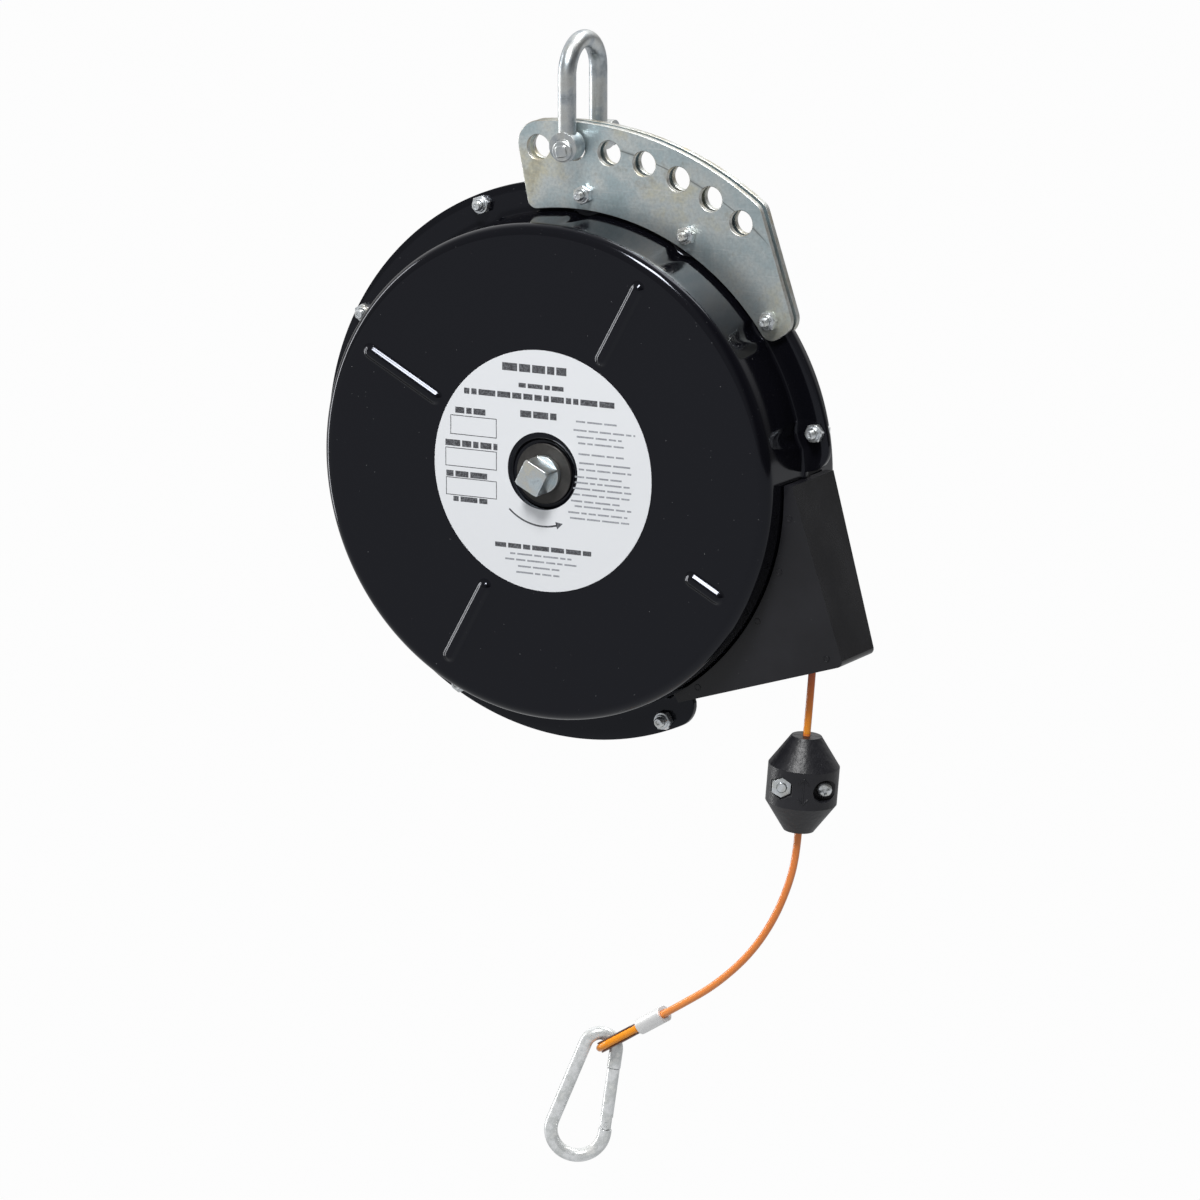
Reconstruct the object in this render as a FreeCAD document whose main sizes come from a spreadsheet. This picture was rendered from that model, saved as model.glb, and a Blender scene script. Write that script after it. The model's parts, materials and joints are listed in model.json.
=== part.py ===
import FreeCAD, Part
import math
import operator
import os
import Sketcher
from FreeCAD import Placement, Rotation, Vector

# A spring tool balancer that hangs from a shackle: two pressed steel pans bolted at their
# flanges, a spring drum that winds a cord, a corner guide, a ball stop and a snap hook.
#
# Row frame: X to the right, Y away from the label side, Z up. The origin is the inside top
# of the shackle bow. Housing pieces are drawn about the drum axis, which runs along Y, with
# y = 0 at the joint between the two pans, and are then lowered to their place.

SIZES = {
    # Pressed pans
    "sheet": (1.8, "thickness of the pressed steel"),
    "half_depth": (37.8, "pan depth from the flange joint to the outer face"),
    "wall_draft": (1.1, "how much narrower the side wall is at the face"),
    "rim_round": (5.5, "rounding between face and side wall"),
    "base_round": (1.6, "rounding between side wall and flange"),
    "flange_width": (15.8, "side wall to the outside of the flange"),
    "flange_round": (12, "rounding of the flange ends beside the cord guide"),
    "recess_radius": (18.6, "dished recess round the shaft"),
    "recess_depth": (2.5, "depth of the dished recess"),
    "recess_slope": (1.5, "how far the recess wall leans in"),
    "bead_width": (8, "width of a stiffening bead at the face"),
    "bead_height": (2, "height of a stiffening bead"),
    "bead_label_gap": (4.4, "label to the inner end of the beads"),
    "bead_inset": (10.6, "outside of the face to the outer end of the beads"),
    "short_bead_length": (23.9, "length of the bead beside the guide"),
    "dimple_depth": (2, "how far a bolt dimple goes into the wall at the flange"),
    "dimple_fade": (1.7, "how much narrower the dimple is at the face"),
    # Bolts round the flange
    "bolt_out": (10.2, "side wall to the middle of the flange bolts"),
    "bolt_near": (40, "angle from the guide's middle to the bolt beside it"),
    "bolt_step": (25.3, "angle between the bolts that also hold the hanger plates"),
    "bolt_radius": (2.5, "M5 bolt"),
    "bolt_clearance": (0.25, "gap round a bolt in its hole"),
    "head_across": (8, "width of the hexagon across its flats"),
    "head_height": (3.5, "bolt head height"),
    "nut_height": (4, "hexagon part of the nut"),
    "collar_height": (1.2, "round locking collar of the nut"),
    "collar_radius": (3.5, "radius of the locking collar"),
    "bolt_tip": (3, "bolt end standing out of the nut"),
    # Hanger plates
    "plate": (3, "thickness of a hanger plate"),
    "plate_gap": (2, "side wall to the inner edge of a hanger plate"),
    "plate_height": (44.4, "inner edge to the top edge"),
    "plate_left": (101.2, "angle of the left edge"),
    "plate_tip": (32.6, "angle of the lower right end"),
    "plate_tip_height": (17.7, "lower right corner above the inner edge"),
    "plate_right": (53, "angle where the right edge meets the top edge"),
    "plate_round_left": (12, "rounding of the upper left corner"),
    "plate_round_low": (5, "rounding of the lower left corner"),
    "plate_round_top": (8, "rounding of the upper right corner"),
    "plate_round_tip": (9, "rounding of the lower right corner"),
    "plate_round_end": (6, "rounding where the right end meets the inner edge"),
    "hole_inset": (13.4, "top edge to the row of hanging holes"),
    "hole_radius": (6.35, "half inch hanging hole"),
    "hole_step": (7.17, "angle between hanging holes"),
    # Shackle
    "rod_radius": (4.6, "shackle rod"),
    "bow_inside": (24, "width inside the shackle"),
    "bow_height": (47.3, "pin centre to the inside top of the bow"),
    "eye_radius": (7.6, "shackle eye"),
    "eye_spare": (0.3, "how much an eye is thicker than the rod on each side"),
    "pin_radius": (4.5, "shackle pin"),
    "pin_gap": (0.06, "radial gap of the pin in the shackle's rear eye and under the plates"),
    "pin_collar": (2.4, "thickness of the collar on the pin"),
    "tab_length": (12, "flat tab of the pin"),
    "tab_height": (13, "height of the pin's tab"),
    "tab_thickness": (4, "thickness of the pin's tab"),
    "tab_hole": (2, "radius of the hole in the pin's tab"),
    "shackle_shift": (5, "how far the shackle stands behind the joint between the pans"),
    # Cord guide
    "guide_angle": (28.5, "how far below the horizontal the guide's middle points"),
    "guide_height": (48, "outer corner above the circle of the guide's two ends"),
    "guide_round": (3, "rounding of the guide's outer corner"),
    "guide_rise": (4.8, "side wall to the guide's two ends"),
    "guide_spread": (30.1, "angle from the guide's middle to its ends"),
    "guide_width": (46, "width of the guide at its ends"),
    "guide_corner_width": (35.5, "width of the guide at its outer corner"),
    "guide_gap": (0.3, "gap between the guide and the pans"),
    "gap_spread": (31.6, "angle from the guide's middle to the flange ends"),
    "window_spread": (22, "half angle of the window in the wall behind the guide"),
    "window_depth": (12, "half width of that window"),
    "mouth_radius": (3.2, "hole where the cord leaves the guide"),
    "mouth_flare": (3.6, "how much wider the rounded mouth is"),
    "funnel_length": (100, "length of the widening cord passage"),
    "funnel_half": (6, "half the height of that passage at its wide end"),
    # Shaft, bushes and ratchet
    "shaft_radius": (9.5, "tension shaft"),
    "shaft_front": (12.7, "how far the shaft stands out of the front face"),
    "square_across": (14, "wrench square across its flats"),
    "square_length": (11, "length of the wrench square"),
    "square_turn": (27, "how the square is turned"),
    "shaft_chamfer": (0.8, "chamfer of the shaft ends"),
    "run_gap": (0.05, "radial gap of a running fit"),
    "press_gap": (0.03, "gap left at a pressed-in bush"),
    "bush_radius": (12.7, "outside of the housing bushes"),
    "bush_flange": (15.4, "flange radius of the housing bushes"),
    "bush_flange_thick": (1.5, "flange thickness of the bushes"),
    "side_gap": (0.3, "gap between faces that turn past each other"),
    "ring_thick": (1, "thickness of a retaining ring"),
    "ring_radius": (14, "outside of a retaining ring"),
    "groove_depth": (0.8, "depth of the shaft groove for a retaining ring"),
    "wheel_hub": (15, "hub radius of the ratchet wheel"),
    "wheel_rise": (2, "ratchet hub length below the teeth"),
    "wheel_thick": (6, "thickness of the toothed part"),
    "tooth_tip": (26, "ratchet tooth tip radius"),
    "tooth_root": (20.5, "ratchet tooth root radius"),
    "key_width": (4, "square key"),
    "key_depth": (2, "how deep the keys sit in the shaft"),
    "leaf_thick": (1.5, "thickness of the release leaf"),
    "leaf_width": (7, "width of the release leaf"),
    "leaf_slope": (12, "slope of the release leaf"),
    "leaf_reach": (50, "shaft axis to the clamp that holds the leaf"),
    "leaf_root": (9, "length of the leaf inside its clamp"),
    "leaf_tip_gap": (1, "gap between the leaf's tip and the tooth that it stops"),
    "leaf_gap": (0.6, "room for the leaf to rock in its clamp"),
    "clamp_length": (14, "length of the leaf clamp"),
    "clamp_height": (26, "height of the leaf clamp"),
    "clamp_screw": (2, "M4 clamp screws"),
    # Drum
    "drum_bush": (12.9, "outside of the drum bushes"),
    "drum_hub": (16.5, "outside of the drum hub"),
    "drum_side_room": (11, "room between the drum rim and the face of a pan"),
    "web": (3, "thickness of the drum's web and lid"),
    "hub_length": (10, "how far the drum's hubs reach inwards"),
    "drum_radius": (108, "surface that the cord winds on"),
    "drum_wall": (6, "thickness of the drum rim"),
    "winding_half": (11.4, "half the width of the winding"),
    "cheek": (1.6, "thickness of the drum's side cheeks"),
    "cheek_rise": (9, "how far the side cheeks stand above the winding surface"),
    "drum_room": (7.5, "room between the drum's cheeks and the pans"),
    "lid_screw": (2, "M4 lid screws"),
    "strip": (1.1, "thickness of the power spring strip"),
    "strip_room": (1, "room at each side of the power spring"),
    "spring_inner_room": (10, "arbor to the inner turn of the power spring"),
    "spring_outer_room": (5, "outer turn's hook to the drum rim"),
    "arbor_radius": (22, "outside of the spring arbor"),
    "anchor_radius": (3, "pin that holds the spring's outer end"),
    # Label
    "label_radius": (61.5, "outside of the label"),
    "label_hole": (19.8, "hole in the label"),
    "label_thick": (0.25, "thickness of the label"),
    "label_lift": (1.5, "how far the label is stuck above the shaft"),
    # Cord and what is on it
    "cord_radius": (1.9, "coated wire rope"),
    "ball_radius": (18, "ball stop at its band"),
    "ball_half": (24.6, "half the length of the ball stop"),
    "ball_cap": (7.7, "end radius of the ball stop"),
    "band_half": (9.6, "half the width of the band"),
    "ball_turn": (27.9, "how the ball stop is turned about the cord"),
    "ball_seam": (0.2, "half the seam between the ball's halves"),
    "ball_screw_out": (10.75, "screw to the middle of the ball stop"),
    "ball_nut_across": (9.4, "width of the ball stop's nuts across their flats"),
    "ball_pocket_gap": (0.9, "room across the flats of a ball stop's nut"),
    "pocket_floor": (8.2, "depth where the screw pockets end, from the ball's middle"),
    "pocket_radius": (5.8, "round pocket of the screw heads"),
    "screw_head": (3.8, "radius of the ball screw heads"),
    "screw_head_height": (2.8, "height of the ball screw heads"),
    "clamp_gap": (0.1, "gap between the cord and what grips it"),
    "bend_gap": (0.4, "cord end to the point where it bends in the mouth"),
    "ferrule_length": (15.5, "length of the ferrule"),
    "ferrule_wall": (2.3, "wall of the ferrule"),
    "eye_inside": (5.5, "half width inside the thimble"),
    "eye_gap": (0.6, "from the ferrule's end to where the loop spreads"),
    "hook_slack": (1.9, "hook rod to the end of the thimble"),
    "thimble_sheet": (0.8, "thickness of the thimble"),
    "thimble_lip": (2.2, "how far the thimble's lips reach out"),
    "eye_length": (18.2, "ferrule to the middle of the thimble's round end"),
    # Snap hook
    "hook_rod": (3.45, "rod radius of the snap hook"),
    "hook_top": (8.1, "bend radius of the hook's top, at the rod's middle"),
    "hook_bottom": (13.75, "bend radius of the hook's bottom, at the rod's middle"),
    "hook_length": (44.2, "distance between the two bends' centres"),
    "hook_turn": (27.9, "how the hook is turned about the vertical"),
    "hook_lean": (15.1, "how the hook leans in its own plane"),
    "nose_length": (9, "straight part of the hook's nose"),
    "heel_length": (2, "straight part of the hook below the gate"),
    "gate_radius": (3.2, "gate tube"),
    "ball_seat_gap": (0.35, "gap under a ball screw's head"),
    "gate_gap": (0.35, "gap at the gate's two ends"),
    "gate_pin": (1.25, "gate pivot pin"),
    "tongue_half": (1.2, "half thickness of the hook's heel tongue"),
}

HANGING_HOLES = 7
PLAIN_BACK_BOLTS = 3
TOOTH_COUNT = 12
SPRING_TURNS = 7
LID_SCREWS = 6
AXIS_Y = Vector(0, 1, 0)
AXIS_Z = Vector(0, 0, 1)
TO_Y = Rotation(Vector(1, 0, 0), -90)
OPERATIONS = {"+": operator.add, "-": operator.sub, "*": operator.mul, "/": operator.truediv}

# Where the cord runs, to the right of the drum axis and above it: it leaves the guide at its
# mouth, runs straight through the ball stop and curves from there to the ferrule.
CORD_MOUTH = (132.4, -93.5)
BALL_TOP = (129.46, -126.6)
BALL_FOOT = (124.9, -178.0)
CORD_ROUTE = (
    (123.83, -190.0), (119.6, -206.5), (110.6, -226.6), (97.3, -245.5),
    (79.2, -262.3), (62.3, -273.6), (48.4, -282.1),
)


class Size:
    """A length or an angle, with the expression that gives it."""

    def __init__(self, value, text):
        self.value = value
        self.text = text

    def __add__(self, other):
        return joined(self, "+", other)

    def __radd__(self, other):
        return joined(other, "+", self)

    def __sub__(self, other):
        return joined(self, "-", other)

    def __rsub__(self, other):
        return joined(other, "-", self)

    def __mul__(self, other):
        return joined(self, "*", other)

    def __rmul__(self, other):
        return joined(other, "*", self)

    def __truediv__(self, other):
        return joined(self, "/", other)

    def __neg__(self):
        return joined(0, "-", self)

    def __float__(self):
        return float(self.value)


def size(value):
    """Give any number the form of a Size."""
    return value if isinstance(value, Size) else Size(float(value), "({0!r})".format(float(value)))


def joined(first, sign, second):
    """Combine two sizes, as numbers and as an expression."""
    first = size(first)
    second = size(second)
    value = OPERATIONS[sign](first.value, second.value)
    return Size(value, "({0} {1} {2})".format(first.text, sign, second.text))


def cosine(angle):
    """Cosine of an angle in degrees."""
    angle = size(angle)
    return Size(math.cos(math.radians(angle.value)), "cos({0})".format(angle.text))


def sine(angle):
    """Sine of an angle in degrees."""
    angle = size(angle)
    return Size(math.sin(math.radians(angle.value)), "sin({0})".format(angle.text))


def root(area):
    """Square root."""
    area = size(area)
    return Size(math.sqrt(area.value), "sqrt({0})".format(area.text))


def polar(radius, angle):
    """Point at a radius and an angle, as X to the right and Z up."""
    return (radius * cosine(angle), radius * sine(angle))


class Dimensions:
    """The spreadsheet of driving dimensions, read by name."""

    def __init__(self, document, sizes):
        sheet = document.addObject("Spreadsheet::Sheet", "Sizes")
        for row, (name, (value, meaning)) in enumerate(sizes.items(), start=1):
            sheet.set("A{0}".format(row), name)
            sheet.set("B{0}".format(row), str(value))
            sheet.setAlias("B{0}".format(row), name)
            sheet.set("C{0}".format(row), meaning)
        document.recompute()
        self.table = sheet

    def __getattr__(self, name):
        return Size(float(self.table.get(name)), "Sizes." + name)


doc = FreeCAD.newDocument("tool_balancer")
d = Dimensions(doc, SIZES)
parts = []

# Sizes that several pieces share
cheek_radius = d.drum_radius + d.cheek_rise
rim_radius = cheek_radius + d.drum_room + d.sheet
wall_radius = rim_radius + d.wall_draft
flange_radius = wall_radius + d.flange_width
bead_end = rim_radius - d.bead_inset
bead_start = d.label_radius + d.bead_label_gap
short_bead_start = bead_end - d.short_bead_length
drum_half = d.half_depth - d.sheet - d.drum_side_room
bolt_circle = wall_radius + d.bolt_out
plate_inner = wall_radius + d.plate_gap
plate_outer = plate_inner + d.plate_height
hole_circle = plate_outer - d.hole_inset
guide_end = wall_radius + d.guide_rise
axis_drop = hole_circle + d.bow_height - d.pin_radius + d.hole_radius - d.pin_gap
wheel_front = d.half_depth - d.recess_depth + d.bush_flange_thick + d.side_gap
teeth_front = wheel_front + d.wheel_rise
teeth_back = teeth_front + d.wheel_thick
cord_layer = d.drum_radius + d.cord_radius


# Helpers that put pieces together

def bind(thing, **values):
    """Tie properties of an object to the sizes that give them."""
    for name, value in values.items():
        thing.setExpression(name, size(value).text)


def move(thing, x=0, y=0, z=0, turn=None, axis=AXIS_Y):
    """Place an object by sizes: an optional turn about an axis, then a shift."""
    if turn is not None:
        thing.Placement = Placement(Vector(), Rotation(axis, float(size(turn))))
        thing.setExpression("Placement.Rotation.Angle", size(turn).text)
    for name, value in (("x", x), ("y", y), ("z", z)):
        thing.setExpression("Placement.Base." + name, size(value).text)
    return thing


def solid(kind, name, at=(0, 0, 0), turn=None, **values):
    """Add a primitive bound to its sizes, with its own axis turned as asked."""
    thing = doc.addObject("Part::" + kind, name)
    if turn is not None:
        thing.Placement = Placement(Vector(), turn)
    bind(thing, **values)
    for axis, value in zip("xyz", at):
        thing.setExpression("Placement.Base." + axis, size(value).text)
    return thing


def rod_y(name, radius, start, end, x=0, z=0):
    """A cylinder along Y between two depths."""
    return solid("Cylinder", name, (x, start, z), TO_Y, Radius=radius, Height=end - start)


def block(name, low, high):
    """A box between two corners."""
    return solid("Box", name, low, Length=high[0] - low[0], Width=high[1] - low[1],
                 Height=high[2] - low[2])


def fused(name, pieces):
    """One solid of several."""
    thing = doc.addObject("Part::MultiFuse", name)
    thing.Shapes = pieces
    return thing


def cut(name, base, tools):
    """A solid less one or more others."""
    tool = tools[0] if len(tools) == 1 else fused(name + "_tools", tools)
    thing = doc.addObject("Part::Cut", name)
    thing.Base = base
    thing.Tool = tool
    return thing


def common(name, first, second):
    """What two solids share."""
    thing = doc.addObject("Part::Common", name)
    thing.Base = first
    thing.Tool = second
    return thing


def body(name):
    """A new empty body."""
    return doc.addObject("PartDesign::Body", name)


def plane_of(owner, role):
    """One of a body's own origin planes."""
    return next(item for item in owner.Origin.OriginFeatures if item.Role == role)


def sketch(owner, plane, offset=None):
    """An empty sketch on one of the body's planes. Offsets on XZ_Plane go along +Y."""
    drawing = owner.newObject("Sketcher::SketchObject", owner.Name + "_sketch")
    drawing.AttachmentSupport = [(plane_of(owner, plane), "")]
    drawing.MapMode = "FlatFace"
    if offset is not None:
        drawing.setExpression("AttachmentOffset.Base.z", size(offset).text)
    return drawing


def pin_down(drawing, kind, geometry, point, value):
    """Hold one coordinate of a sketch point to a size."""
    value = size(value)
    if value.text == "(0.0)":
        axis = -2 if kind == "DistanceX" else -1
        drawing.addConstraint(Sketcher.Constraint("PointOnObject", geometry, point, axis))
        return
    index = drawing.addConstraint(Sketcher.Constraint(kind, -1, 1, geometry, point, value.value))
    drawing.setExpression("Constraints[{0}]".format(index), value.text)


def draw_polygon(drawing, points):
    """A closed outline whose corners are given by sizes."""
    corners = [Vector(float(size(a)), float(size(b)), 0) for a, b in points]
    first = drawing.GeometryCount
    count = len(corners)
    for index in range(count):
        drawing.addGeometry(Part.LineSegment(corners[index], corners[(index + 1) % count]))
    for index in range(count):
        following = first + (index + 1) % count
        drawing.addConstraint(Sketcher.Constraint("Coincident", first + index, 2, following, 1))
    for index, (across, along) in enumerate(points):
        pin_down(drawing, "DistanceX", first + index, 1, across)
        pin_down(drawing, "DistanceY", first + index, 1, along)


def draw_circle(drawing, radius, across=0, along=0):
    """A circle whose centre and radius are given by sizes."""
    centre = Vector(float(size(across)), float(size(along)), 0)
    index = drawing.addGeometry(Part.Circle(centre, AXIS_Z, float(size(radius))))
    pin_down(drawing, "DistanceX", index, 3, across)
    pin_down(drawing, "DistanceY", index, 3, along)
    held = drawing.addConstraint(Sketcher.Constraint("Radius", index, float(size(radius))))
    drawing.setExpression("Constraints[{0}]".format(held), size(radius).text)


def draw_sector(drawing, inner, outer, spread):
    """Part of a ring, an angle each side of the sketch's X axis."""
    angles = -math.radians(float(spread)), math.radians(float(spread))
    arcs = [Part.ArcOfCircle(Part.Circle(Vector(), AXIS_Z, float(radius)), *angles)
            for radius in (outer, inner)]
    first = drawing.addGeometry(arcs[0])
    second = drawing.addGeometry(arcs[1])
    upper = drawing.addGeometry(Part.LineSegment(arcs[0].EndPoint, arcs[1].EndPoint))
    lower = drawing.addGeometry(Part.LineSegment(arcs[1].StartPoint, arcs[0].StartPoint))
    for one, end, other, start in ((first, 3, -1, 1), (second, 3, -1, 1), (first, 2, upper, 1),
                                   (upper, 2, second, 2), (second, 1, lower, 1), (lower, 2, first, 1)):
        drawing.addConstraint(Sketcher.Constraint("Coincident", one, end, other, start))
    for index, radius in ((first, outer), (second, inner)):
        held = drawing.addConstraint(Sketcher.Constraint("Radius", index, float(radius)))
        drawing.setExpression("Constraints[{0}]".format(held), size(radius).text)
        pin_down(drawing, "DistanceY", index, 1, -(radius * sine(spread)))
        pin_down(drawing, "DistanceY", index, 2, radius * sine(spread))


def finish_feature(owner, feature):
    """Recompute a new feature and make sure that it changed the solid."""
    before = owner.Shape.Volume if owner.Shape.Solids else 0.0
    doc.recompute()
    if abs(owner.Shape.Volume - before) < 1e-6:
        raise RuntimeError(feature.Name + " changed nothing")
    return feature


def turned(name, profile):
    """A body turned about Y from a profile of radius and depth."""
    owner = body(name)
    drawing = sketch(owner, "XY_Plane")
    draw_polygon(drawing, profile)
    spin = owner.newObject("PartDesign::Revolution", name + "_turning")
    spin.Profile = drawing
    spin.ReferenceAxis = (drawing, ["V_Axis"])
    spin.Angle = 360
    finish_feature(owner, spin)
    return owner


def pad(owner, drawing, length, backwards=True):
    """Raise a sketch on the XZ plane, towards +Y when backwards."""
    feature = owner.newObject("PartDesign::Pad", owner.Name + "_pad")
    feature.Profile = drawing
    feature.Reversed = backwards
    bind(feature, Length=length)
    return finish_feature(owner, feature)


def pocket(owner, drawing, depth, towards_front):
    """Cut a sketch on the XZ plane into the solid, towards -Y or +Y."""
    feature = owner.newObject("PartDesign::Pocket", owner.Name + "_pocket")
    feature.Profile = drawing
    feature.Reversed = towards_front
    bind(feature, Length=depth)
    return finish_feature(owner, feature)


def rounded(owner, feature, names, radius):
    """Round edges of the last feature."""
    fillet = owner.newObject("PartDesign::Fillet", owner.Name + "_round")
    fillet.Base = (feature, names)
    bind(fillet, Radius=radius)
    return finish_feature(owner, fillet)


def ring_edges(shape, rings):
    """Names of the circular edges about Y nearest to each radius and depth."""
    names = []
    for radius, depth in rings:
        target = (float(radius), float(depth))
        best = min(
            (abs(edge.Curve.Radius - target[0]) + abs(edge.Curve.Center.y - target[1]), index)
            for index, edge in enumerate(shape.Edges, start=1)
            if isinstance(edge.Curve, Part.Circle) and abs(edge.Curve.Axis.y) > 0.99
        )
        names.append("Edge{0}".format(best[1]))
    return names


def upright_edges(shape, places):
    """Names of the straight edges along Y nearest to each point."""
    names = []
    for x, z in places:
        target = Vector(float(x), 0, float(z))
        best = min(
            ((Vector(edge.CenterOfMass.x, 0, edge.CenterOfMass.z) - target).Length, index)
            for index, edge in enumerate(shape.Edges, start=1)
            if isinstance(edge.Curve, Part.Line) and abs(edge.Curve.Direction.y) > 0.99
        )
        names.append("Edge{0}".format(best[1]))
    return names


def keep(thing, label, x=0, y=0, z=0, turn=None, axis=AXIS_Y):
    """Name a finished piece, put it in its place and list it for writing."""
    thing.Label = label
    if thing.TypeId != "Part::Feature":
        move(thing, x, y, z, turn, axis)
    parts.append(thing)
    return thing


def keep_on_housing(thing, label, turn=None, at=(0, 0, 0)):
    """A finished piece drawn about the drum axis, or a plain bar with a place of its own."""
    return keep(thing, label, x=at[0], y=at[1] - d.shackle_shift, z=at[2] - axis_drop, turn=turn)


def housing_place():
    """Placement of everything that is drawn about the drum axis."""
    return Placement(Vector(0, -float(d.shackle_shift), -float(axis_drop)), Rotation())


def shaped(label, shape):
    """A piece whose shape is built edge by edge, with its placement set afterwards."""
    own_place = shape.Placement
    thing = doc.addObject("Part::Feature", label)
    thing.Shape = shape
    thing.Placement = housing_place().multiply(own_place)
    return keep(thing, label)


def copies(label, master, places):
    """One node of identical fasteners, each a copy of the master at its own place."""
    solids = []
    for place in places:
        piece = master.Shape.copy()
        piece.Placement = place.multiply(piece.Placement)
        solids.append(piece)
    return shaped(label, Part.makeCompound(solids))


# Pressed pans

def bolt_angles():
    """Angles of the flange bolts from the guide's middle: hanger bolts, then the others."""
    hanger = [d.bolt_near + d.bolt_step * step for step in (1, 2, 3)]
    plain = [d.bolt_near, d.bolt_near + d.bolt_step * 4]
    plain += [size(180) + size(45) * step for step in range(PLAIN_BACK_BOLTS)]
    plain.append(-d.bolt_near)
    return hanger, plain


def pan_profile(side):
    """Profile of one pan: recess, face, draughted wall and flange."""
    bore = d.bush_radius + d.press_gap
    floor = d.half_depth - d.recess_depth
    profile = [
        (bore, floor - d.sheet), (bore, floor),
        (d.recess_radius - d.recess_slope, floor), (d.recess_radius, d.half_depth),
        (rim_radius, d.half_depth), (wall_radius, d.sheet),
        (flange_radius, d.sheet), (flange_radius, 0),
        (wall_radius - d.sheet, 0), (rim_radius - d.sheet, d.half_depth - d.sheet),
        (d.recess_radius + d.sheet, d.half_depth - d.sheet),
        (d.recess_radius + d.sheet - d.recess_slope, floor - d.sheet),
    ]
    return [(radius, depth if size(depth).text == "(0.0)" else depth * side)
            for radius, depth in profile]


def sector(spread):
    """A triangle from the axis that spans an angle each side of the guide's middle."""
    reach = flange_radius / cosine(spread) + 1
    across, up = polar(reach, spread)
    return [(0, 0), (across, -up), (across, up)]


def bead(name, side, angle, start, grow):
    """A stiffening bead: a half-sunk round bar with round ends, grown or shrunk by the sheet."""
    round_radius = (d.bead_width * d.bead_width / 4 + d.bead_height * d.bead_height)
    round_radius = round_radius / (d.bead_height * 2)
    depth = (d.half_depth + d.bead_height - round_radius) * side
    radius = round_radius - grow
    half = d.bead_width / 2
    inner = polar(start + half, angle)
    outer = polar(bead_end - half, angle)
    bar = solid("Cylinder", name + "_bar", (inner[0], depth, inner[1]),
                Rotation(AXIS_Y, 90 - float(angle)), Radius=radius,
                Height=bead_end - start - d.bead_width)
    ends = [solid("Sphere", name + "_end", (across, depth, up), TO_Y, Radius=radius)
            for across, up in (inner, outer)]
    return fused(name, [bar] + ends)


def dimples(name, side, grow, start):
    """Cones about the flange bolts from a depth up, narrower towards the face."""
    wide = bolt_circle - wall_radius + d.dimple_depth + grow
    away = Rotation(Vector(1, 0, 0), -90 * side)
    hanger, plain = bolt_angles()
    cones = []
    for angle in hanger + plain:
        across, up = polar(bolt_circle, angle)
        cones.append(solid("Cone", name, (across, start * side, up), away, Radius1=wide,
                           Radius2=wide - d.dimple_fade, Height=d.half_depth - start))
    return cones


def pan(label, side):
    """One pressed pan, front (-1) or rear (+1)."""
    owner = turned(label + "_shell", pan_profile(side))
    face = d.half_depth * side
    rim = rounded(owner, owner.Tip, ring_edges(owner.Shape, [(rim_radius, face)]), d.rim_round)
    inside = ring_edges(owner.Shape, [(rim_radius - d.sheet, (d.half_depth - d.sheet) * side)])
    rim = rounded(owner, rim, inside, d.rim_round - d.sheet)
    base = ring_edges(owner.Shape, [(wall_radius, d.sheet * side)])
    rounded(owner, rim, base, d.base_round)
    window = sketch(owner, "XZ_Plane")
    draw_polygon(window, sector(d.window_spread))
    pocket(owner, window, d.window_depth, towards_front=side < 0)
    gap = sketch(owner, "XZ_Plane")
    draw_sector(gap, wall_radius, flange_radius + 1, d.gap_spread)
    last = pocket(owner, gap, d.sheet, towards_front=side < 0)
    ends = upright_edges(owner.Shape, [polar(flange_radius, d.gap_spread),
                                       polar(flange_radius, -d.gap_spread)])
    rounded(owner, last, ends, d.flange_round)

    hanger, plain = bolt_angles()
    starts = [short_bead_start] + [bead_start] * 3
    quarter = [0, 90, 180, 270]
    raised = [bead(label + "_bead", side, size(a), b, size(0)) for a, b in zip(quarter, starts)]
    outer = d.half_depth + d.bead_height + 1
    low, high = (-outer, d.sheet - d.half_depth) if side < 0 else (d.half_depth - d.sheet, outer)
    skin = block(label + "_skin", (-rim_radius, low, -rim_radius),
                 (rim_radius, high, rim_radius))
    beads = common(label + "_beads", fused(label + "_raised", raised), skin)
    sunk = [bead(label + "_groove", side, size(a), b, d.sheet) for a, b in zip(quarter, starts)]
    holes = []
    for angle in hanger + plain:
        across, up = polar(bolt_circle, angle)
        radius = d.bolt_radius + d.bolt_clearance
        low = -d.sheet * 2 if side < 0 else size(-1)
        high = size(1) if side < 0 else d.sheet * 2
        holes.append(rod_y(label + "_hole", radius, low, high, across, up))
    low, high = (d.rim_round - d.half_depth, size(0))
    if side > 0:
        low, high = (size(0), d.half_depth - d.rim_round)
    inner_wall = rod_y(label + "_inner_wall", rim_radius, low, high)
    backing = fused(label + "_backing", dimples(label + "_back", side, d.sheet, size(0)))
    patches = common(label + "_patches", backing, inner_wall)
    whole = fused(label + "_pressed", [owner, beads, patches])
    dents = dimples(label + "_dimple", side, size(0), d.sheet)
    cover = cut(label + "_pierced", whole, sunk + holes + dents)
    if side < 0:
        return keep_on_housing(cover, label, turn=d.guide_angle)
    move(cover, turn=d.guide_angle)
    screws = [rod_y(label + "_screw_hole", d.clamp_screw + d.press_gap, d.half_depth - d.sheet - 1,
                    d.half_depth + 1, x, z) for x, z in clamp_screw_places()]
    return keep_on_housing(cut(label + "_drilled", cover, screws), label)


# Fasteners

def hexagon(name, height, start):
    """A hexagonal prism along Y."""
    corner = d.head_across / root(3)
    thing = solid("Prism", name, (0, start, 0), TO_Y, Circumradius=corner, Height=height)
    thing.Polygon = 6
    return thing


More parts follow.
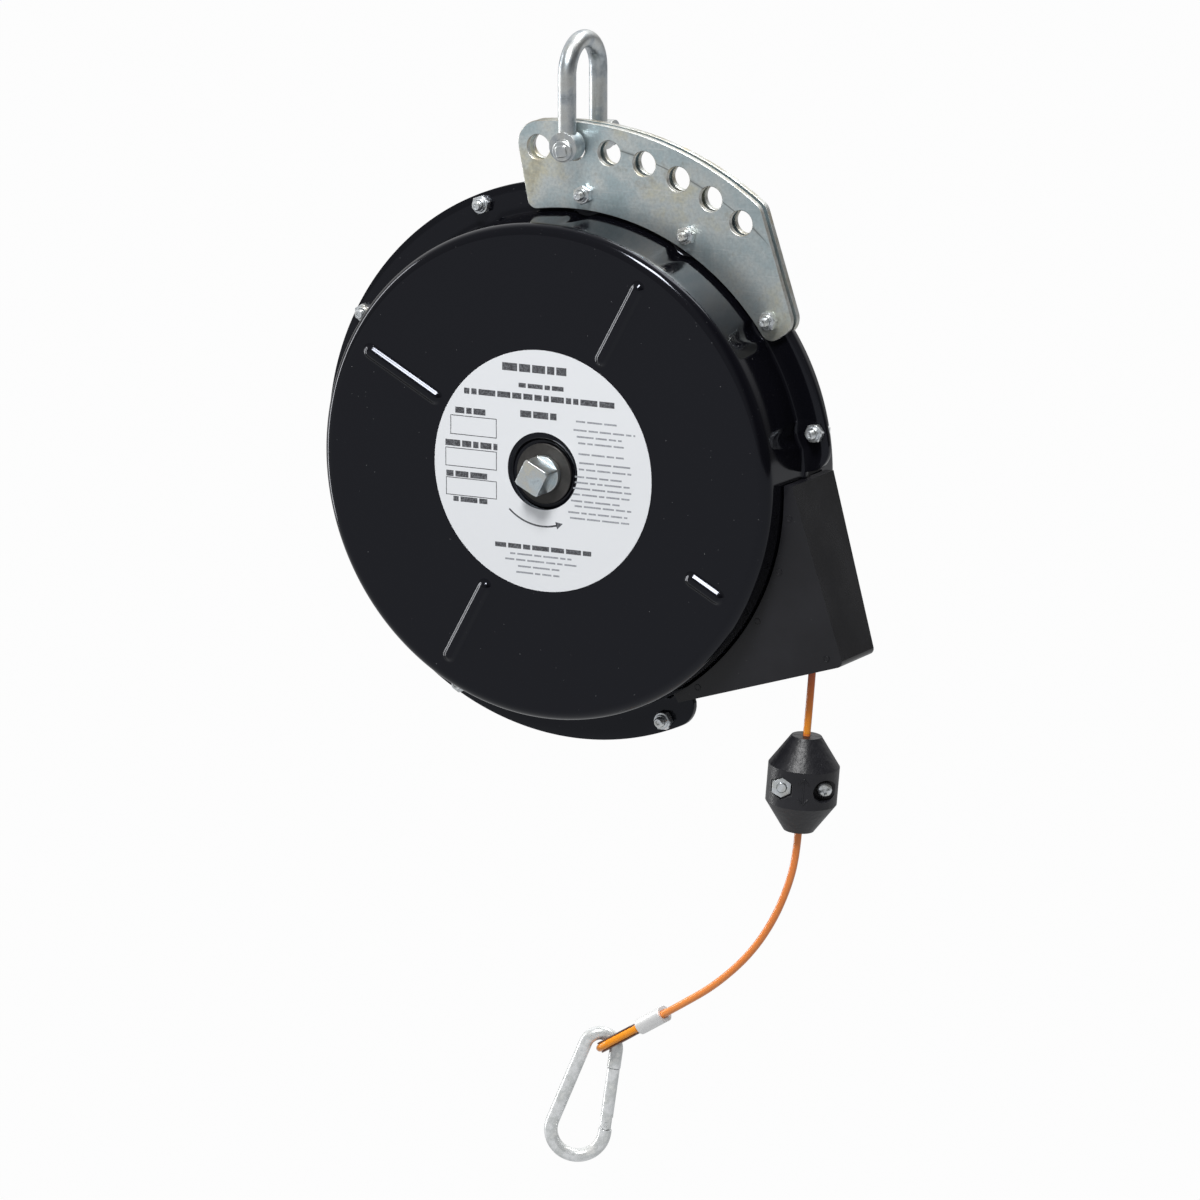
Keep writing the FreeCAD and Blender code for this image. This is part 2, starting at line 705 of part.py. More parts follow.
def bolt(name, grip):
    """A hexagon bolt through a stack from -grip to +grip, head at the rear."""
    tip = -grip - d.nut_height - d.collar_height - d.bolt_tip
    shank = rod_y(name + "_shank", d.bolt_radius, tip, grip + 0.5)
    return fused(name, [shank, hexagon(name + "_head", d.head_height, grip)])


def nut(name, grip):
    """A locking nut at the front of a stack: a hexagon with a round collar."""
    front = -grip - d.nut_height
    collar = rod_y(name + "_collar", d.collar_radius, front - d.collar_height, front + 0.5)
    whole = fused(name + "_blank", [hexagon(name + "_hex", d.nut_height, front), collar])
    bore = rod_y(name + "_bore", d.bolt_radius + d.press_gap, front - d.collar_height - 1, -grip + 1)
    return cut(name, whole, [bore])


def flange_places(angles):
    """Placements of the flange fasteners."""
    places = []
    for angle in angles:
        across, up = polar(bolt_circle, angle - d.guide_angle)
        places.append(Placement(Vector(float(across), 0, float(up)), Rotation()))
    return places


def fasteners():
    """Bolts and nuts of the flange, and the longer ones that hold the hanger plates."""
    hanger, plain = bolt_angles()
    stacks = (("flange", plain, d.sheet), ("hanger", hanger, d.sheet + d.plate))
    for name, angles, grip in stacks:
        masters = bolt(name + "_bolt", grip), nut(name + "_nut", grip)
        doc.recompute()
        copies(name + "_bolts", masters[0], flange_places(angles))
        copies(name + "_nuts", masters[1], flange_places(angles))


# Hanger plates and shackle

def hanger_plate(label, side):
    """A plate with a row of hanging holes: a ring sector with a slanted right edge."""
    owner = body(label)
    start = d.sheet if side > 0 else -d.sheet - d.plate
    ring = sketch(owner, "XZ_Plane", offset=-start)
    draw_circle(ring, plate_outer)
    draw_circle(ring, plate_inner)
    pad(owner, ring, d.plate)
    far = plate_outer * 1.5
    corner = polar(plate_inner + d.plate_tip_height, d.plate_tip)
    top = polar(plate_outer, d.plate_right)
    above = (top[0] + (top[0] - corner[0]) * 0.3, top[1] + (top[1] - corner[1]) * 0.3)
    left = polar(far, d.plate_left)
    rest = sketch(owner, "XZ_Plane", offset=-start)
    draw_polygon(rest, [(0, 0), left, (-far, left[1]), (-far, -far), (far, -far), (far, above[1]),
                        above, corner])
    last = pocket(owner, rest, d.plate, towards_front=False)
    corners = (
        (polar(plate_outer, d.plate_left), d.plate_round_left),
        (polar(plate_inner, d.plate_left), d.plate_round_low),
        (top, d.plate_round_top), (corner, d.plate_round_tip),
        (polar(plate_inner, d.plate_tip), d.plate_round_end),
    )
    for place, radius in corners:
        last = rounded(owner, last, upright_edges(owner.Shape, [place]), radius)
    holes = sketch(owner, "XZ_Plane", offset=-start)
    for step in range(HANGING_HOLES):
        draw_circle(holes, d.hole_radius, *polar(hole_circle, size(90) - d.hole_step * (step - 1)))
    for angle in bolt_angles()[0]:
        draw_circle(holes, d.bolt_radius + d.bolt_clearance,
                    *polar(bolt_circle, angle - d.guide_angle))
    pocket(owner, holes, d.plate, towards_front=False)
    return keep_on_housing(owner, label)


def shackle():
    """The D shackle and its screw pin, drawn about the pin."""
    half = d.bow_inside / 2 + d.rod_radius
    crown = d.bow_height - d.bow_inside / 2
    eye_low = d.bow_inside / 2 - d.eye_spare
    eye_high = d.bow_inside / 2 + d.rod_radius * 2 + d.eye_spare
    legs = [solid("Cylinder", "leg", (0, half * side, 0), Radius=d.rod_radius, Height=crown)
            for side in (-1, 1)]
    arch = solid("Torus", "bow", (0, 0, crown), Rotation(Vector(1, 1, 1), 120), Radius1=half,
                 Radius2=d.rod_radius, Angle3=180)
    eyes = [rod_y("eye", d.eye_radius, -eye_high, -eye_low), rod_y("eye", d.eye_radius, eye_low, eye_high)]
    bore = rod_y("pin_bore", d.pin_radius + d.pin_gap, -eye_high - 1, eye_high + 1)
    bail = cut("bail", fused("bail_blank", legs + [arch] + eyes), [bore])
    keep(bail, "shackle_bail", z=-d.bow_height)

    start = eye_high + d.side_gap
    shank = rod_y("pin_shank", d.pin_radius, -eye_high, start)
    collar = rod_y("pin_neck", d.eye_radius - 0.8, start, start + d.pin_collar)
    tab_start = start + d.pin_collar
    disc = solid("Cylinder", "tab_disc", (-d.tab_thickness / 2, tab_start + d.tab_length / 2, 0),
                 Rotation(AXIS_Y, 90), Radius=d.tab_height / 2, Height=d.tab_thickness)
    neck = block("tab_neck", (-d.tab_thickness / 2, tab_start - 0.5, -d.pin_radius),
                 (d.tab_thickness / 2, tab_start + d.tab_length / 2, d.pin_radius))
    eyelet = solid("Cylinder", "tab_eyelet", (-d.tab_thickness, tab_start + d.tab_length / 2, 0),
                   Rotation(AXIS_Y, 90), Radius=d.tab_hole, Height=d.tab_thickness * 2)
    beyond = rod_y("tab_room", d.tab_height, tab_start, tab_start + d.tab_length * 2)
    tab = cut("tab", common("tab_blank", fused("tab_whole", [disc, neck]), beyond), [eyelet])
    pin = fused("pin", [shank, collar, tab])
    keep(pin, "shackle_pin", z=-d.bow_height)


# Cord guide

def mouth_place():
    """Where the cord leaves the guide, in the guide's own turned frame."""
    x, z = CORD_MOUTH
    turn = math.radians(float(d.guide_angle))
    return (x * math.cos(turn) - z * math.sin(turn), x * math.sin(turn) + z * math.cos(turn))


def lead_line():
    """Tangent point of the cord on the drum, and the unit direction to the mouth."""
    x, z = CORD_MOUTH
    distance = math.hypot(x, z)
    angle = math.atan2(z, x) + math.acos(float(cord_layer) / distance)
    touch = Vector(float(cord_layer) * math.cos(angle), 0, float(cord_layer) * math.sin(angle))
    way = Vector(x, 0, z) - touch
    return touch, way.normalize()


def cable_guide():
    """Moulded corner guide, drawn along X and then turned down to its place."""
    ends = polar(guide_end, d.guide_spread)
    outline = body("guide_outline")
    drawing = sketch(outline, "XZ_Plane", offset=d.guide_width / 2)
    inner = polar(guide_end - 14, d.guide_spread)
    reach = guide_end + d.guide_height
    draw_polygon(drawing, [inner, ends, (reach, 0), (ends[0], -ends[1]), (inner[0], -inner[1])])
    pad(outline, drawing, d.guide_width)
    rounded(outline, outline.Tip, upright_edges(outline.Shape, [(reach, 0)]), d.guide_round)
    taper = solid("Wedge", "guide_taper", (0, 0, 0), Rotation(AXIS_Z, -90),
                  Xmin=-d.guide_width / 2, Xmax=d.guide_width / 2, Ymin=ends[0], Ymax=reach,
                  Zmin=-ends[1] * 1.1, Zmax=ends[1] * 1.1, X2min=-d.guide_corner_width / 2,
                  X2max=d.guide_corner_width / 2, Z2min=-ends[1] * 1.1, Z2max=ends[1] * 1.1)
    root_block = block("guide_root", (inner[0] - 20, -d.guide_width / 2, -ends[1] * 1.1),
                       (ends[0], d.guide_width / 2, ends[1] * 1.1))
    form = common("guide_form", outline, fused("guide_thick", [taper, root_block]))
    wall_room = wall_radius + d.guide_gap
    bend_room = d.sheet + d.base_round + d.guide_gap
    wall = turned("guide_wall_room", [
        (0, -d.half_depth), (wall_room, -d.half_depth), (wall_room, -bend_room),
        (wall_room + d.base_round, -bend_room), (wall_room + d.base_round, bend_room),
        (wall_room, bend_room), (wall_room, d.half_depth), (0, d.half_depth),
    ])
    outer = cut("guide_outer", form, [wall])

    neck_angle = d.window_spread - 0.4
    neck = body("guide_neck")
    drawing = sketch(neck, "XZ_Plane", offset=d.window_depth - d.guide_gap)
    side = polar(wall_radius + 1.5, neck_angle)
    draw_polygon(drawing, [(0, 0), (side[0], -side[1]), (side[0] + 6, 0), side])
    pad(neck, drawing, (d.window_depth - d.guide_gap) * 2)
    drum_room = rod_y("guide_drum_room", wall_radius - d.sheet - d.guide_gap - 2.4, -d.half_depth,
                      d.half_depth)
    throat = cut("guide_throat", neck, [drum_room])
    lip = turned("guide_lip", [
        (wall_radius - d.sheet - d.guide_gap - 2.4, -d.window_depth - 3),
        (wall_radius - d.sheet - d.guide_gap - 0.9, -d.window_depth - 3),
        (wall_radius - d.sheet - d.guide_gap - 0.9, d.window_depth + 3),
        (wall_radius - d.sheet - d.guide_gap - 2.4, d.window_depth + 3),
    ])
    lip_room = body("guide_lip_room")
    drawing = sketch(lip_room, "XZ_Plane", offset=d.half_depth)
    draw_polygon(drawing, sector(d.window_spread + 2))
    pad(lip_room, drawing, d.half_depth * 2)
    inside = common("guide_inside", lip, lip_room)

    touch, way = lead_line()
    across, up = mouth_place()
    inwards = Rotation(AXIS_Y, -float(d.guide_angle)).multVec(-way)
    along = Rotation(inwards.cross(AXIS_Y), inwards, AXIS_Y, "YZX")
    funnel = solid("Wedge", "guide_funnel", (across, 0, up), along,
                   Xmin=-d.mouth_radius, Xmax=d.mouth_radius, Ymin=-6, Ymax=d.funnel_length,
                   Zmin=-d.mouth_radius, Zmax=d.mouth_radius, X2min=-d.funnel_half, X2max=d.funnel_half,
                   Z2min=1 - d.window_depth, Z2max=d.window_depth - 1)
    flare = solid("Cone", "guide_flare", (across, 0, up), Rotation(AXIS_Y, 135),
                  Radius1=d.mouth_radius, Radius2=d.mouth_radius + d.mouth_flare,
                  Height=d.mouth_flare)
    guide = cut("guide", fused("guide_solid", [outer, throat, inside]), [funnel, flare])
    return keep_on_housing(guide, "cable_guide", turn=d.guide_angle)


# Shaft, bushes, ratchet and release leaf

def housing_bush(label, side):
    """A flanged bush in a pan's recess."""
    floor = d.half_depth - d.recess_depth
    inner_end = drum_half + d.web + d.bush_flange_thick + d.side_gap
    if side < 0:
        inner_end = inner_end + d.ring_thick + d.side_gap
    else:
        inner_end = inner_end - d.web
    bore = d.shaft_radius + d.run_gap
    profile = [(bore, inner_end), (d.bush_radius, inner_end), (d.bush_radius, floor),
               (d.bush_flange, floor), (d.bush_flange, floor + d.bush_flange_thick),
               (bore, floor + d.bush_flange_thick)]
    owner = turned(label, [(radius, depth * side) for radius, depth in profile])
    return keep_on_housing(owner, label)


def key(label, start, end):
    """A square key half sunk in the shaft."""
    low = d.shaft_radius - d.key_depth
    half = d.key_width / 2
    thing = block(label + "_bar", (0, 0, 0), (d.key_width, end - start, d.key_width))
    return keep_on_housing(thing, label, at=(-half, start, low))


def keyway(name, start, end):
    """Room for a key."""
    low = d.shaft_radius - d.key_depth - d.run_gap
    half = d.key_width / 2 + d.run_gap
    return block(name, (-half, start, low), (half, end, low + d.key_width + d.run_gap * 2))


def ring_places():
    """Depths where the two retaining rings start."""
    front = -(drum_half + d.web + d.bush_flange_thick + d.side_gap + d.ring_thick)
    return front, teeth_back + d.side_gap


def arbor_span():
    """The two ends of the spring arbor, between the drum's hubs."""
    low = -drum_half + d.hub_length + d.side_gap
    high = drum_half - d.web - d.hub_length - d.side_gap
    return low, high


def tension_shaft():
    """The shaft, with a wrench square at the front, ring grooves and two keyways."""
    front = -d.half_depth - d.shaft_front
    back = teeth_back + d.side_gap + d.ring_thick + 2
    groove = d.shaft_radius - d.groove_depth
    chamfer = d.shaft_chamfer
    profile = [(0, front), (d.shaft_radius - chamfer, front), (d.shaft_radius, front + chamfer)]
    for start in ring_places():
        profile += [(d.shaft_radius, start - d.run_gap), (groove, start - d.run_gap),
                    (groove, start + d.ring_thick + d.run_gap),
                    (d.shaft_radius, start + d.ring_thick + d.run_gap)]
    profile += [(d.shaft_radius, back - chamfer), (d.shaft_radius - chamfer, back), (0, back)]
    owner = turned("shaft_blank", profile)
    square = sketch(owner, "XZ_Plane", offset=-front)
    corner = d.square_across / root(2)
    draw_circle(square, d.shaft_radius + 1)
    draw_polygon(square, [polar(corner, size(45 + 90 * k) - d.square_turn) for k in range(4)])
    pocket(owner, square, d.square_length, towards_front=False)
    low, high = arbor_span()
    slots = [keyway("arbor_keyway", low, high), keyway("wheel_keyway", wheel_front, teeth_back)]
    return keep_on_housing(cut("shaft", owner, slots), "tension_shaft")


def retaining_ring(label, start):
    """An open ring in a shaft groove."""
    inner = d.shaft_radius - d.groove_depth + d.run_gap
    owner = turned(label, [(inner, start), (d.ring_radius, start), (d.ring_radius, start + d.ring_thick),
                           (inner, start + d.ring_thick)])
    mouth = sketch(owner, "XZ_Plane", offset=-start)
    half = d.shaft_radius - d.groove_depth - 1
    draw_polygon(mouth, [(-half, 0), (half, 0), (half, -d.ring_radius * 1.2), (-half, -d.ring_radius * 1.2)])
    pocket(owner, mouth, d.ring_thick, towards_front=False)
    return keep_on_housing(owner, label)


def ratchet_wheel():
    """Saw-toothed wheel keyed to the shaft behind the rear pan."""
    owner = body("wheel_blank")
    pitch = 360.0 / TOOTH_COUNT
    outline = sketch(owner, "XZ_Plane", offset=-teeth_front)
    points = []
    for index in range(TOOTH_COUNT):
        angle = size(90 + pitch * index)
        points.append(polar(d.tooth_root, angle))
        points.append(polar(d.tooth_tip, angle))
    draw_polygon(outline, points)
    pad(owner, outline, d.wheel_thick)
    hub = sketch(owner, "XZ_Plane", offset=-wheel_front)
    draw_circle(hub, d.wheel_hub)
    pad(owner, hub, d.wheel_rise)
    bore = sketch(owner, "XZ_Plane", offset=-wheel_front)
    draw_circle(bore, d.shaft_radius + d.press_gap)
    pocket(owner, bore, teeth_back - wheel_front, towards_front=False)
    slot = keyway("wheel_slot", wheel_front - 1, teeth_back + 1)
    return keep_on_housing(cut("wheel", owner, [slot]), "ratchet_wheel")


def leaf_line():
    """Middle line of the release leaf: tip, foot of the slope and root end, as X and Z."""
    tip = (d.leaf_tip_gap, d.tooth_root + d.leaf_thick * 0.9)
    rise = (d.leaf_reach - tip[0]) * sine(d.leaf_slope) / cosine(d.leaf_slope)
    foot = (d.leaf_reach, tip[1] + rise)
    return tip, foot, (d.leaf_reach + d.leaf_root, foot[1])


def release_leaf():
    """The sprung leaf that catches the ratchet and is pressed aside to let the shaft back."""
    tip, foot, end = leaf_line()
    half = d.leaf_thick / 2
    start = teeth_front - 0.5
    owner = body("release_leaf")
    outline = sketch(owner, "XZ_Plane", offset=-start)
    draw_polygon(outline, [
        (tip[0], tip[1] - half), (foot[0], foot[1] - half), (end[0], end[1] - half),
        (end[0], end[1] + half), (foot[0], foot[1] + half), (tip[0], tip[1] + half),
    ])
    pad(owner, outline, d.leaf_width)
    return keep_on_housing(owner, "release_leaf")


def clamp_screw_places():
    """Places of the two clamp screws, one above the leaf and one below."""
    foot = leaf_line()[1]
    middle = d.leaf_reach + d.clamp_length / 2
    rise = d.clamp_height / 2 - 5
    return [(middle, foot[1] - rise), (middle, foot[1] + rise)]


def leaf_clamp():
    """The block on the rear pan that holds the leaf's root, and its two screws."""
    foot = leaf_line()[1]
    start = teeth_front - 0.5
    low = foot[1] - d.clamp_height / 2
    high = foot[1] + d.clamp_height / 2
    back = start + d.leaf_width + d.leaf_gap + 3
    whole = block("clamp_block", (d.leaf_reach, d.half_depth, low),
                  (d.leaf_reach + d.clamp_length, back, high))
    room = d.leaf_thick / 2 + d.leaf_gap
    slot = block("clamp_slot", (d.leaf_reach - 1, start - d.leaf_gap, foot[1] - room),
                 (d.leaf_reach + d.leaf_root + d.leaf_gap, start + d.leaf_width + d.leaf_gap,
                  foot[1] + room))
    places = clamp_screw_places()
    holes = [rod_y("clamp_hole", d.clamp_screw + d.press_gap, d.half_depth - 1, back + 1, x, z)
             for x, z in places]
    keep_on_housing(cut("clamp", whole, [slot] + holes), "leaf_clamp")
    shank = rod_y("clamp_shank", d.clamp_screw, d.half_depth - d.sheet - 1.2, back + 0.5)
    head = rod_y("clamp_head", d.clamp_screw * 1.9, back, back + 2)
    master = fused("clamp_screw", [shank, head])
    doc.recompute()
    copies("clamp_screws", master,
           [Placement(Vector(float(x), 0, float(z)), Rotation()) for x, z in places])


# Drum

def drum():
    """The spring drum: hub, web, rim and two cheeks beside the winding."""
    bore = d.drum_bush + d.press_gap
    back = drum_half
    rim = d.drum_radius - d.drum_wall
    flat = d.winding_half + d.side_gap
    owner = turned("drum", [
        (bore, back - d.web - d.hub_length), (d.drum_hub, back - d.web - d.hub_length),
        (d.drum_hub, back - d.web), (rim, back - d.web), (rim, -back), (d.drum_radius, -back),
        (d.drum_radius, -flat - d.cheek), (cheek_radius, -flat - d.cheek), (cheek_radius, -flat),
        (d.drum_radius, -flat), (d.drum_radius, flat), (cheek_radius, flat),
        (cheek_radius, flat + d.cheek), (d.drum_radius, flat + d.cheek), (d.drum_radius, back),
        (bore, back),
    ])
    holes = sketch(owner, "XZ_Plane", offset=back)
    for place in screw_circle():
        draw_circle(holes, d.lid_screw + d.press_gap, *place)
    pocket(owner, holes, size(12), towards_front=False)
    anchor = sketch(owner, "XZ_Plane", offset=-back)
    draw_circle(anchor, d.anchor_radius + d.press_gap, *anchor_place())
    pocket(owner, anchor, d.web, towards_front=True)
    return keep_on_housing(owner, "drum")


def screw_circle():
    """Places of the lid screws, in the middle of the drum rim."""
    return [polar(d.drum_radius - d.drum_wall / 2, size(360.0 / LID_SCREWS * k + 15))
            for k in range(LID_SCREWS)]


def spring_radii():
    """Radius of the spring's inner turn, of its outer turn and of the hook at its end."""
    hook = d.anchor_radius + d.press_gap + d.strip / 2
    outer = d.drum_radius - d.drum_wall - hook * 2 - d.spring_outer_room
    return d.arbor_radius + d.spring_inner_room, outer, hook


def anchor_place():
    """Where the spring's outer end hooks round its pin."""
    outer, hook = spring_radii()[1:]
    return (-(outer + hook), size(0))


def drum_lid():
    """The plate that closes the spring side of the drum, and its screws."""
    bore = d.drum_bush + d.press_gap
    front = -drum_half
    owner = turned("drum_lid", [
        (bore, front - d.web), (d.drum_radius, front - d.web), (d.drum_radius, front),
        (d.drum_hub, front), (d.drum_hub, front + d.hub_length), (bore, front + d.hub_length),
    ])
    holes = sketch(owner, "XZ_Plane", offset=-front)
    for place in screw_circle():
        draw_circle(holes, d.lid_screw + d.bolt_clearance, *place)
    pocket(owner, holes, d.web, towards_front=True)
    keep_on_housing(owner, "drum_lid")
    shank = rod_y("lid_shank", d.lid_screw, front - d.web - 0.5, front + 9)
    head = rod_y("lid_head", d.lid_screw * 1.8, front - d.web - 2, front - d.web)
    master = fused("lid_screw", [shank, head])
    doc.recompute()
    copies("lid_screws", master,
           [Placement(Vector(float(x), 0, float(z)), Rotation()) for x, z in screw_circle()])


def drum_bush(label, side):
    """A flanged bush in one of the drum's hubs."""
    outer = drum_half + (d.web if side < 0 else size(0))
    inner = outer - d.web - d.hub_length
    bore = d.shaft_radius + d.run_gap
    profile = [(bore, inner), (d.drum_bush, inner), (d.drum_bush, outer), (d.drum_hub, outer),
               (d.drum_hub, outer + d.bush_flange_thick), (bore, outer + d.bush_flange_thick)]
    owner = turned(label, [(radius, depth * side) for radius, depth in profile])
    return keep_on_housing(owner, label)


def spring_arbor():
    """The sleeve keyed to the shaft that takes the spring's inner end."""
    low, high = arbor_span()
    bore = d.shaft_radius + d.press_gap
    owner = turned("arbor_blank", [(bore, low), (d.arbor_radius, low), (d.arbor_radius, high), (bore, high)])
    slot = keyway("arbor_slot", low - 1, high + 1)
    reach = d.arbor_radius - 5
    catch = block("arbor_catch", (reach, low - 1, -d.strip), (d.arbor_radius + 1, high + 1, d.strip))
    keep_on_housing(cut("arbor", owner, [slot, catch]), "spring_arbor")
    return key("arbor_key", low, high)


def anchor_pin():
    """The pin in the drum's web that holds the spring's outer end."""
    start = d.strip_room - drum_half
    across, up = anchor_place()
    pin = rod_y("anchor_pin", d.anchor_radius, start, drum_half)
    return keep_on_housing(pin, "spring_anchor_pin", at=(across, start, up))


def power_spring():
    """The flat spiral spring: half circles about two centres, tucked in and hooked at its ends."""
    half = float(d.strip) / 2
    start, last, hook = [float(radius) for radius in spring_radii()]
    step = (last - start) / SPRING_TURNS / 2
    low = -float(drum_half) + float(d.strip_room)
    high = float(drum_half - d.web) - float(d.strip_room)

    def half_circle(centre, from_x, to_x, up):
        """An arc above or below the middle line."""
        middle = Vector(centre, 0, abs(from_x - to_x) / 2 * up)
        return Part.Arc(Vector(from_x, 0, 0), middle, Vector(to_x, 0, 0)).toShape()

    def side_edges(offset):
        """Edges of one side of the strip, from the inner end to the outer."""
        edges = []
        for turn in range(2 * SPRING_TURNS + 1):
            way = 1 if turn % 2 == 0 else -1
            centre = 0.0 if way > 0 else step
            radius = start + step * turn + offset
            edges.append(half_circle(centre, centre + way * radius, centre - way * radius, way))
        wrap = hook - offset
        edges.append(half_circle(-last - hook, -last - offset, -last - hook - wrap, -1))
        return edges

    inner = side_edges(-half)
    outer = side_edges(half)
    tuck = float(d.arbor_radius) - 4
    corners = [Vector(start - half, 0, 0), Vector(tuck, 0, 0), Vector(tuck, 0, -2 * half),
               Vector(start + half, 0, -2 * half), Vector(start + half, 0, 0)]
    tang = [Part.LineSegment(one, other).toShape() for one, other in zip(corners, corners[1:])]
    wrap = -last - 2 * hook
    closing = Part.LineSegment(Vector(wrap - half, 0, 0), Vector(wrap + half, 0, 0)).toShape()
    wire = Part.Wire(Part.__sortEdges__(inner + outer + tang + [closing]))
    strip = Part.Face(wire).extrude(Vector(0, high - low, 0))
    strip.translate(Vector(0, low, 0))
    return shaped("power_spring", strip)


def wound_cord():
    """The cord on the drum, as one ring of the winding's size."""
    owner = turned("wound_cord", [
        (d.drum_radius + 0.02, -d.winding_half), (d.drum_radius + d.cord_radius * 2, -d.winding_half),
        (d.drum_radius + d.cord_radius * 2, d.winding_half), (d.drum_radius + 0.02, d.winding_half),
    ])
    return keep_on_housing(owner, "wound_cord")


# Label

def label_disc():
    """The round label on the front face, stuck a little above the shaft."""
    owner = turned("label_disc", [
        (d.label_hole, -d.half_depth - d.label_thick), (d.label_radius, -d.half_depth - d.label_thick),
        (d.label_radius, -d.half_depth), (d.label_hole, -d.half_depth),
    ])
    return keep(owner, "label_disc", y=-d.shackle_shift, z=d.label_lift - axis_drop)


# Cord

def arc_points(before, corner, after):
    """Start, middle and end of the arc that rounds a corner of the route, and its radius."""
    back = before - corner
    on = after - corner
    turn = math.pi - back.getAngle(on)
    shorter = min(back.Length, on.Length)
    setback = 0.45 * shorter
    radius = setback / math.tan(turn / 2)
    start = corner + Vector(back).normalize() * setback
    end = corner + Vector(on).normalize() * setback
    inward = (Vector(back).normalize() + Vector(on).normalize()).normalize()
    centre = corner + inward * math.hypot(radius, setback)
    middle = centre - inward * radius
    return start, middle, end, radius


def tube(label, points, radius):
    """A cord stretch: straight runs joined by tangent arcs, with its volume compared."""
    edges = []
    radii = []
    last = points[0]
    for before, corner, after in zip(points, points[1:], points[2:]):
        start, middle, end, bend = arc_points(before, corner, after)
        edges.append(Part.LineSegment(last, start).toShape())
        edges.append(Part.Arc(start, middle, end).toShape())
        radii.append(round(bend, 1))
        last = end
    edges.append(Part.LineSegment(last, points[-1]).toShape())
    path = Part.Wire(edges)
    ring = Part.Circle(points[0], points[1] - points[0], radius).toShape()
    sweep = path.makePipeShell([Part.Wire([ring])], True, False)
    expected = math.pi * radius ** 2 * path.Length
    if abs(sweep.Volume - expected) > 0.01 * expected:
        raise RuntimeError(label + " has the wrong volume")
    print(label, "length", round(path.Length, 1), "bend radii", radii)
    return shaped(label, sweep)


def in_plane(place):
    """A point of the cord's plane."""
    return Vector(float(place[0]), 0, float(place[1]))


def ferrule_frame():
    """End of the route before the ferrule, the ferrule's start, and its direction."""
    before = in_plane(CORD_ROUTE[-2])
    start = in_plane(CORD_ROUTE[-1])
    return before, start, (start - before).normalize()


def cords():
    """The cord inside the guide, above the ball stop and below it."""
    radius = float(d.cord_radius)
    touch, way = lead_line()
    mouth = in_plane(CORD_MOUTH)
    clear = float(cord_layer) + 2 * radius + float(d.side_gap)
    skip = math.sqrt(clear ** 2 - float(cord_layer) ** 2)
    top = in_plane(BALL_TOP)
    gap = float(d.bend_gap)
    tube("cord_lead", [touch + way * skip, mouth - way * gap], radius)
    tube("cord_upper", [mouth + (top - mouth).normalize() * gap, top], radius)
    tube("cord_clamped", [top, in_plane(BALL_FOOT)], radius)
    before, start, along = ferrule_frame()
    end = start + along * float(d.ferrule_length)
    tube("cord_lower", [in_plane(place) for place in (BALL_FOOT,) + CORD_ROUTE[:-1]] + [end], radius)


def loop_frame():
    """Frame of the eye: origin at the ferrule's lower end, X along it, Y across the eye."""
    before, start, along = ferrule_frame()
    origin = start + along * float(d.ferrule_length) + AXIS_Y * float(d.cord_radius + d.clamp_gap / 2)
    turn = Rotation(along, AXIS_Y, along.cross(AXIS_Y), "XYZ")
    return Placement(origin, turn)


def eye_path(inward, apart):
    """Teardrop path of the eye, or of a line inside it, from one strand round to the other."""
    radius = float(d.cord_radius)
    strand = radius + float(d.clamp_gap) / 2
    length = float(d.eye_length)
    bend = float(d.eye_inside + d.thimble_sheet + d.clamp_gap) + radius
    spread = math.asin(bend / math.hypot(length, strand)) - math.atan2(strand, length)
    bend = bend - inward
    shoulder = Vector(length - bend * math.sin(spread), -bend * math.cos(spread), 0)
    run = (-shoulder.y - apart) / math.sin(spread) - float(d.eye_gap)
    start = shoulder - Vector(math.cos(spread), -math.sin(spread), 0) * run
    return [
        Part.LineSegment(start, shoulder).toShape(),
        Part.Arc(shoulder, Vector(length + bend, 0, 0), Vector(shoulder.x, -shoulder.y, 0)).toShape(),
        Part.LineSegment(Vector(shoulder.x, -shoulder.y, 0), Vector(start.x, -start.y, 0)).toShape(),
    ]


def swept(path_edges, profile):
    """Sweep a closed profile along a path into a solid."""
    return Part.Wire(path_edges).makePipeShell([profile], True, False)


def rope_eye():
    """The loop of cord round the thimble."""
    radius = float(d.cord_radius)
    frame = loop_frame()
    path = eye_path(0, radius + float(d.clamp_gap) / 2)
    start = path[0].Vertexes[0].Point
    way = (path[0].Vertexes[1].Point - start).normalize()
    ring = Part.Wire([Part.Circle(start, way, radius).toShape()])
    loop = swept(path, ring)
    loop.Placement = frame
    shaped("cord_loop", loop)


def ferrule():
    """The oval sleeve pressed on the two strands."""
    radius = float(d.cord_radius)
    gap = float(d.clamp_gap)
    apart = radius + gap / 2
    frame = loop_frame()
    length = float(d.ferrule_length)

    def stadium(grow, start, span):
        """A rounded slot section about both strands, extruded along the ferrule."""
        size_here = radius + grow
        top = Vector(start, apart, size_here), Vector(start, -apart, size_here)
        low = Vector(start, -apart, -size_here), Vector(start, apart, -size_here)
        edges = [
            Part.LineSegment(top[0], top[1]).toShape(),
            Part.Arc(top[1], Vector(start, -apart - size_here, 0), low[0]).toShape(),
            Part.LineSegment(low[0], low[1]).toShape(),
            Part.Arc(low[1], Vector(start, apart + size_here, 0), top[0]).toShape(),
        ]
        return Part.Face(Part.Wire(edges)).extrude(Vector(span, 0, 0))

    sleeve = stadium(float(d.ferrule_wall), -length, length).cut(stadium(gap, -length - 1, length + 2))
    sleeve.Placement = frame
    shaped("ferrule", sleeve)
    stub = Part.makeCylinder(radius, length + 1.5, Vector(-length - 1.5, apart, 0), Vector(1, 0, 0))
    stub.Placement = frame
    shaped("cord_stub", stub)


